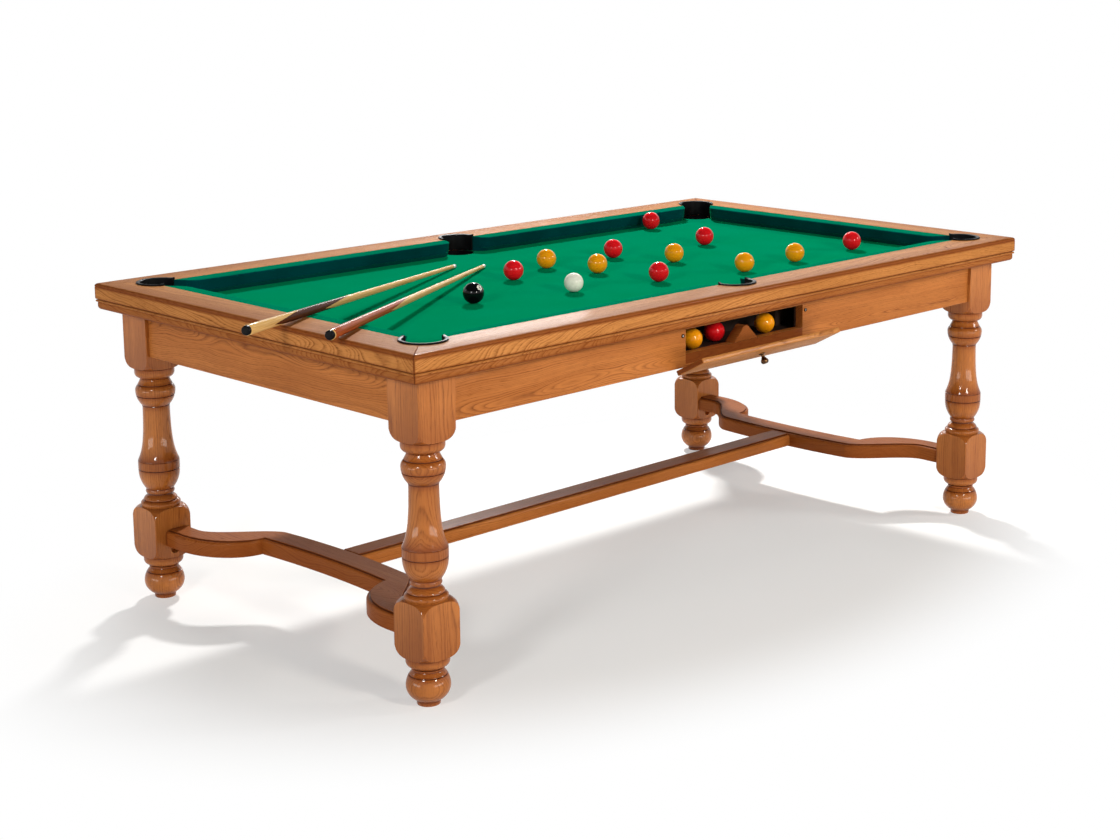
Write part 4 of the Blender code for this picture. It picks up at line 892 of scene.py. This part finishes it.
def cushionMesh(form, start, end, startAngle, endAngle):
    width, tip = form["width"], form["tip"]
    low = start + width * math.tan(math.radians(startAngle))
    high = end - width * math.tan(math.radians(endAngle))
    first = (start + tip * (low - start), tip * width)
    last = (end - tip * (end - high), tip * width)
    plan = [first] + jawPoints(first, (low, width), (high, width), form["jawRound"])
    plan += [(low + (high - low) * i / 8, width) for i in range(1, 8)]
    plan += jawPoints(last, (high, width), (low, width), form["jawRound"])[::-1] + [last]
    top, base = railTop - form["gap"], bedTop + form["gap"]
    rings = []
    for along, depth in sorted(plan):
        share = depth / width
        radius = form["noseRound"] * share
        nose = (depth - radius, top - form["drop"] * share - radius - 0.0002)
        ring = [(form["back"], base), (form["back"], top)]
        ring += [(depth * t, top - form["drop"] * share * t**1.5) for t in (0.25, 0.5, 0.7, 0.82)]
        ring += arcPoints(nose, radius, 90, 0, 6)
        # the face leans under the nose to a fold, below which the cloth is tucked back
        tuck = form["undercut"] * share
        for lean, z in ((0.18, 0.020), (0.42, 0.0012), (0.62, 0.0004), (0.62, -0.0004), (0.50, -0.0012)):
            ring.append((depth - tuck * lean, base + form["fold"] + z))
        ring += [(depth - tuck * 0.96, base + 0.0010), (depth - tuck, base)]
        rings.append([(along, y, z) for y, z in ring])
    return buildMesh("cushion", *loft(rings))


def cushionEnd(corner, offset):
    # how far from the middle a cushion ends beside the wall of a corner pocket
    reach = pocketPlan["radius"] + pocketPlan["wall"]
    return corner - math.sqrt(reach**2 - offset**2) - cushionForm["clearance"]


longEnd = cushionEnd(pocketPlan["cornerX"], cushionLineY - pocketPlan["cornerY"])
shortEnd = cushionEnd(pocketPlan["cornerY"], cushionLineX - pocketPlan["cornerX"])
middleEnd = pocketPlan["radius"] + pocketPlan["wall"] + cushionForm["clearance"]
corner, middle = cushionForm["cornerAngle"], cushionForm["middleAngle"]
longRight, longLeft = (middleEnd, longEnd, middle, corner), (-longEnd, -middleEnd, corner, middle)
shortPlan = (-shortEnd, shortEnd, corner, corner)
for cushionName, plan, edge, quarterTurn in (
    ("front_left", longLeft, cushionLineY, 0), ("front_right", longRight, cushionLineY, 0),
    ("right", shortPlan, cushionLineX, 90), ("back_right", longLeft, cushionLineY, 180),
    ("back_left", longRight, cushionLineY, 180), ("left", shortPlan, cushionLineX, 270),
):
    mesh = cushionMesh(cushionForm, *plan)
    mesh.transform(turnedBy(quarterTurn) @ Matrix.Translation((0, -edge, 0)))
    piece = addPiece("cushionCovered_" + cushionName, mesh, "table", ["cushion_" + cushionName],
                     [tightCloth], crease=40)
print("cushions covered")

# Pocket liners: rubber horseshoes whose ends lift over the cushions, with a sleeve down through the bed
linerForm = {"steps": 60, "round": 0.0013, "foot": 0.0006, "lift": 0.0003, "endLift": 0.0022,
             "liftFrom": 0.86, "endNarrow": 0.35, "narrowFrom": 0.93, "sleeve": (0.0422, 0.0436),
             "sleeveFoot": 0.7195, "sleeveGap": 0.0004, "sleeveSteps": 72}


def linerMesh(form, centre, facing, span):
    inner = pocketPlan["radius"]
    wall, rim = inner + pocketPlan["wall"], inner + pocketPlan["rim"]
    seat, foot = railTop + form["lift"], bedTop + form["foot"]
    top, soft = seat + pocketPlan["rimHeight"], form["round"]
    section = [(inner, foot), (wall, foot), (wall, seat), (rim - 0.0004, seat), (rim, seat + 0.0006)]
    section += arcPoints((rim - soft * 1.6, top - soft), soft * 1.5, 10, 90, 5)
    section += arcPoints((inner + soft * 1.6, top - soft * 1.6), soft * 1.6, 90, 180, 5)
    middle = (inner + rim) / 2
    rings = []
    for i in range(form["steps"] + 1):
        share = abs(2 * i / form["steps"] - 1)
        turn = math.radians(facing - span / 2 + span * i / form["steps"])
        rise = form["endLift"] * max(0.0, 1 - (1 - share) / (1 - form["liftFrom"])) ** 2
        narrow = 1 - form["endNarrow"] * max(0.0, 1 - (1 - share) / (1 - form["narrowFrom"])) ** 2
        ring = []
        for r, z in section:
            r = r if r <= wall else min(r, middle + (r - middle) * narrow)
            z = z + rise if z > seat + 0.0001 else z
            ring.append((centre[0] + r * math.cos(turn), centre[1] + r * math.sin(turn), z))
        rings.append(ring)
    points, faces = loft(rings)
    low, high = form["sleeveFoot"], bedTop - form["sleeveGap"]
    thin, thick = form["sleeve"]
    sleeve = [(thin, low), (thick, low), (thick, high), (thin, high), (thin, low)]
    tube = turnedRings(sleeve, form["sleeveSteps"], centre)
    tubePoints, tubeFaces = loft(tube, capStart=False, capEnd=False)
    faces += [tuple(i + len(points) for i in face) for face in tubeFaces]
    return buildMesh("liner", points + tubePoints, faces)


for linerName, centre, facing, span in pocketPlaces:
    mesh = linerMesh(linerForm, centre, facing, span)
    addPiece("pocketLiner_" + linerName, mesh, "table", ["pocket_liner_" + linerName],
             [blackRubber], crease=40)
print("liners moulded")

# Ball-return flap: a planed board with rounded edges, open on its hinges, and a turned knob
flapBoard = {"hinge": (0, -0.54725, 0.6112), "openAngle": 62.0, "low": 0.0025, "gap": 0.0025, "length": 0.500,
             "height": 0.092, "thickness": 0.0125, "eases": (0.003, 0.0015, 0.0028, 0.0028),
             "endEase": 0.0022, "endStain": 0.72, "knobAt": 0.046, "knobGap": 0.0003}
hingeFrame = Matrix.Translation(flapBoard["hinge"]) @ turnedBy(flapBoard["openAngle"], "X")
section = boardSection(flapBoard["thickness"], flapBoard["height"], flapBoard["eases"], 6)
mesh = boardMesh(flapBoard["length"], section, flapBoard["endEase"], flapBoard["endStain"])
outerFace = -flapBoard["gap"] / 2 - flapBoard["thickness"]
mesh.transform(hingeFrame @ Matrix.Translation((0, outerFace, flapBoard["low"])))
addPiece("flapBoard", mesh, "flap", ["return_flap"], [railedOak], crease=40,
         grain=(alongX, upward, (0.03, 0.04)))

knobTurning = [  # radius, distance from the flap
    (0.0070, 0.0), (0.0076, 0.0006), (0.0076, 0.0018), (0.0068, 0.0026), (0.0056, 0.0030),
    (0.0046, 0.0042), (0.0042, 0.0060), (0.0042, 0.0090), (0.0048, 0.0106), (0.0062, 0.0120),
    (0.0062, 0.0132), (0.0070, 0.0142), (0.0086, 0.0164), (0.0094, 0.0188), (0.0095, 0.0204),
    (0.0090, 0.0226), (0.0077, 0.0244), (0.0058, 0.0255), (0.0034, 0.0260), (0.0012, 0.0260),
]
mesh = turnedMesh(knobTurning)
knobPlace = (0, outerFace - flapBoard["knobGap"], flapBoard["low"] + flapBoard["knobAt"])
mesh.transform(hingeFrame @ Matrix.Translation(knobPlace) @ turnedBy(90, "X"))
addPiece("knobTurned", mesh, "flap", ["flap_knob"], [agedBronze], crease=40)

# Catches: a dark cup let into the apron round a bright steel pin
catchTurning = {
    "cup": [(0.0046, 0.0), (0.0046, 0.0012), (0.0042, 0.0017), (0.0034, 0.0017), (0.0029, 0.0010),
            (0.0026, 0.0004)],
    "pin": [(0.0020, 0.0004), (0.0020, 0.0015), (0.0015, 0.0019), (0.0005, 0.0020)], "steps": 32,
}
for side in ("left", "right"):
    low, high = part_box("flap_catch_" + side)
    middle = (low + high) / 2
    mesh = turnedMesh(catchTurning["cup"] + catchTurning["pin"], catchTurning["steps"])
    cupFaces = catchTurning["steps"] * (len(catchTurning["cup"]) - 1)
    kinds = [0] * cupFaces + [1] * (len(mesh.polygons) - cupFaces)
    mesh.transform(Matrix.Translation((middle.x, high.y, middle.z)) @ turnedBy(90, "X"))
    piece = addPiece("catchTurned_" + side, mesh, "table", ["flap_catch_" + side],
                     [agedBronze, brightSteel], crease=40)
    piece.data.polygons.foreach_set("material_index", kinds)

# Divider: a low rounded ridge on the lip of the opening
divider = {"topRadius": 0.016, "ease": 0.0012, "darkening": 0.42}
low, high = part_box("tray_divider")
half, ease = (high.x - low.x) / 2, divider["ease"]
crown = arcPoints((0, high.z - low.z - divider["topRadius"]), divider["topRadius"], 35, 145, 14)
outline = [(-half, 0), (half, 0)] + crown
soft = shrunk(outline, ease)
rings = []
for y, ring in ((low.y, soft), (low.y + ease, outline), (high.y - ease, outline), (high.y, soft)):
    rings.append([((low.x + high.x) / 2 + x, y, low.z + z) for x, z in ring])
mesh = buildMesh("divider", *loft(rings), [divider["darkening"]] * len(outline) * len(rings))
addPiece("trayDivider", mesh, "table", ["tray_divider"], [lacqueredOak],
         crease=30, grain=(alongY, alongX, (0.02, 0.05)))
print("ball return fitted")

# Balls: cast resin, polished round
ballForm = {"fineness": 5}
for nodeName in sorted(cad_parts):
    if not nodeName.startswith("ball_") or "trough" in nodeName:
        continue
    low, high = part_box(nodeName)
    colour = nodeName.split("_")[1]
    mesh = bpy.data.meshes.new(nodeName)
    bm = bmesh.new()
    bmesh.ops.create_icosphere(bm, subdivisions=ballForm["fineness"], radius=(high.z - low.z) / 2)
    roll = Matrix.Rotation(chance.uniform(0, 6), 3, (chance.random(), 0.4, chance.random()))
    bmesh.ops.rotate(bm, verts=bm.verts, matrix=roll)
    bmesh.ops.translate(bm, verts=bm.verts, vec=(low + high) / 2)
    bm.to_mesh(mesh)
    bm.free()
    addPiece(nodeName.replace("ball_", "ballCast_"), mesh, nodeName[5:], [nodeName],
             [resins[colour]])
print("balls cast")

# Cues: turned shafts with spliced butts, white ferrules, leather tips and rubber bumpers
cueForm = {"length": 1.200, "butt": 0.0115, "tip": 0.0048, "steps": 48, "tipGap": 0.0003, "railGap": 0.0006}
cuePlan = [  # node, body, overhang past the rail, where the butt lies across, heading, wood
    ("cue_maple", "maple_cue", 0.157, -0.252, 28.7, "maple"),
    ("cue_mahogany", "mahogany_cue", 0.051, -0.392, 33.5, "mahogany"),
]


def cueRadius(form, share):
    return form["butt"] + (form["tip"] - form["butt"]) * share


def cueMesh(form):
    # rows along the cue as (distance from the butt, radius, material)
    shaft = (0.0105, 0.06, 0.12, 0.2, 0.3, 0.4, 0.6, 0.8, 1.0, 1.178)
    rows = [(0.0, 0.0062, 0), (0.0004, 0.0080, 0), (0.0018, 0.0096, 0), (0.0045, 0.0104, 0)]
    rows += [(0.0090, 0.0106, 0), (0.0094, 0.0110, 1)]
    rows += [(d, cueRadius(form, d / form["length"]), 1) for d in shaft]
    rows += [(1.1785, 0.0049, 2), (1.192, 0.0048, 2), (1.1925, 0.0048, 3), (1.1955, 0.0048, 3)]
    rows += [(1.1985, 0.0040, 3), (1.2, 0.0022, 3)]
    points, faces = loft(turnedRings([(r, d) for d, r, _ in rows], form["steps"]))
    mesh = bpy.data.meshes.new("cue")
    mesh.from_pydata(points, [], faces)
    kinds = [kind for _, _, kind in rows[1:] for _ in range(form["steps"])] + [0, 3]
    mesh.polygons.foreach_set("material_index", kinds)
    return mesh


for nodeName, body, overhang, buttY, heading, slotName in cuePlan:
    buttX = -halfLength - overhang
    along = Vector((math.cos(math.radians(heading)), math.sin(math.radians(heading)), 0))
    toRail = (-cushionLineX - buttX) / along.x
    tipZ = bedTop + cueForm["tipGap"] + cueForm["tip"]
    railZ = railTop + cueForm["railGap"] + cueRadius(cueForm, toRail / cueForm["length"])
    slope = (tipZ - railZ) / (cueForm["length"] - toRail)
    axis = Vector((along.x, along.y, slope)).normalized()
    butt = Vector((buttX, buttY, railZ - slope * toRail))
    mesh = cueMesh(cueForm)
    setGrain(mesh, upward, alongX, (0.0, 0.0), fromButt=True)
    mesh.transform(Matrix.Translation(butt) @ axis.to_track_quat("Z", "Y").to_matrix().to_4x4())
    materials = [blackRubber, cueWoods[slotName], ferruleAbs, leatherTip]
    kinds = [p.material_index for p in mesh.polygons]
    piece = addPiece("cueTurned_" + slotName, mesh, body, [nodeName], materials, crease=40)
    piece.data.polygons.foreach_set("material_index", kinds)
print("cues turned")

# Solids that keep their shape and get their finish here
for material, nodeNames in (
    (rivenSlate, ("slate_bed",)), (plywoodShaded, ("ball_trough_front", "ball_trough_back", "cross_chute")),
    (sawnOak, ("slate_bearer_front", "slate_bearer_back")),
    (agedBronze, ("flap_hinge_left", "flap_hinge_right")),
):
    for nodeName in nodeNames:
        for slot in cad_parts[nodeName].material_slots:
            slot.material = material
print("hidden parts finished")

# Studio: a pale floor that runs into a white backdrop all round, one lamp behind, low soft fill in front
studio = {
    "floor": "#F4F3F0", "radius": 18.0, "wall": 9.0, "speckMm": 1000 / 3, "shadowHalf": (1.25, 0.85),
    "fade": (0.85, 1.40), "haze": 0.35, "ambient": 0.08,
    "camera": {"place": (-3.4958, -3.6052, 1.6114), "target": (0.1507, -0.1595, 0.6535), "lens": 63.512,
               "shift": (-0.1, -0.1)},
    "lamps": [  # name, place, target, size, power, colour
        ("keyBack", (2.45, 2.92, 3.75), (0, 0, 0.75), (0.40, 0.32), 330, "#FFFFFF"),
        ("softRightBack", (4.8, 2.9, 2.1), (0, 0, 0.75), (1.6, 1.0), 12, "#FFFFFF"),
        ("sheenBack", (3.24, 3.98, 2.03), (-0.8, -0.57, 0.78), (0.9, 0.4), 19, "#FFFFFF"),
        ("softLeftBack", (-2.8, 3.0, 2.2), (0, 0, 0.75), (0.6, 0.6), 4, "#FFFFFF"),
        ("softLeft", (-3.8, -1.6, 2.1), (0, 0, 0.75), (0.6, 0.5), 48, "#FFFFFF"),
        ("softFront", (-0.7, -4.05, 2.1), (0, 0, 0.75), (0.6, 0.5), 70, "#FFF9F0"),
        ("softRight", (2.85, -2.95, 2.1), (0, 0, 0.75), (0.6, 0.6), 44, "#FFFFFF"),
        ("bounceFront", (0.4, -4.4, 0.35), (0.1, 0, 0.55), (4.0, 0.6), 56, "#FFF6EC"),
        ("bounceLeft", (-5.0, 0.4, 0.35), (-0.6, 0, 0.55), (3.0, 0.6), 40, "#FFF6EC"),
    ],
}


def makeFloor(name):
    # matt paint that keeps the shadow near the table and fades to white away from it
    material, tree, shader = startMaterial(name, Roughness=0.9, Specular_IOR_Level=0.1)
    speck = evenNoise(tree, studio["speckMm"], Detail=2.0)
    plug(tree, shader, Base_Color=blend(tree, speck, linear(studio["floor"]), shaded(studio["floor"], 1.02)))
    halfX, halfY = studio["shadowHalf"]
    place = addNode(tree, "TexCoord", out="Object")
    away = addNode(tree, "Mapping", {"Vector": place, "Scale": (1 / halfX, 1 / halfY, 1.0)})
    away = addNode(tree, "VectorMath", {0: away}, out="Value", operation="LENGTH")
    away = remap(tree, away, *studio["fade"], studio["haze"])
    away.node.interpolation_type = "SMOOTHSTEP"
    path = addNode(tree, "LightPath", out="Is Camera Ray")
    seen = calc(tree, "MAXIMUM", path, path.node.outputs["Is Glossy Ray"])
    seen = calc(tree, "MAXIMUM", seen, path.node.outputs["Is Transmission Ray"])
    white = addNode(tree, "Emission", {"Color": (1, 1, 1, 1), "Strength": 1.0})
    faded = calc(tree, "MULTIPLY", away, seen)
    blended = addNode(tree, "MixShader", {0: faded, 1: shader.outputs[0], 2: white})
    tree.links.new(blended, tree.nodes["Material Output"].inputs["Surface"])
    return material


edge = studio["radius"]
sweep = [(0.02, 0), (edge, 0), (edge + 0.4, 0.12), (edge + 0.5, 0.5), (edge + 0.5, studio["wall"])]
floorMesh = buildMesh("floor", *loft(turnedRings(sweep, 96), capEnd=False))
floorMesh.materials.append(makeFloor("floorPaintedMatt"))
floor = bpy.data.objects.new("studioFloor", floorMesh)
scene.collection.objects.link(floor)


def aimed(name, data, place, target):
    holder = bpy.data.objects.new(name, data)
    holder.location = place
    holder.rotation_euler = (Vector(target) - Vector(place)).to_track_quat("-Z", "Y").to_euler()
    scene.collection.objects.link(holder)
    return holder


for lampName, place, target, size, power, colour in studio["lamps"]:
    lamp = bpy.data.lights.new(lampName, "AREA")
    lamp.shape = "RECTANGLE"
    lamp.size, lamp.size_y = size
    lamp.energy = power
    lamp.color = linear(colour)[:3]
    aimed(lampName, lamp, place, target).visible_camera = False

scene.world = bpy.data.worlds.new("studioWorld")
scene.world.use_nodes = True
sky = scene.world.node_tree.nodes["Background"]
sky.inputs["Color"].default_value = (1, 1, 1, 1)
sky.inputs["Strength"].default_value = studio["ambient"]

view = studio["camera"]
cameraData = bpy.data.cameras.new("photoCamera")
cameraData.sensor_width = 36.0
cameraData.lens = view["lens"]
cameraData.shift_x, cameraData.shift_y = view["shift"]
scene.camera = aimed("photoCamera", cameraData, view["place"], view["target"])
scene.view_settings.view_transform = "Standard"
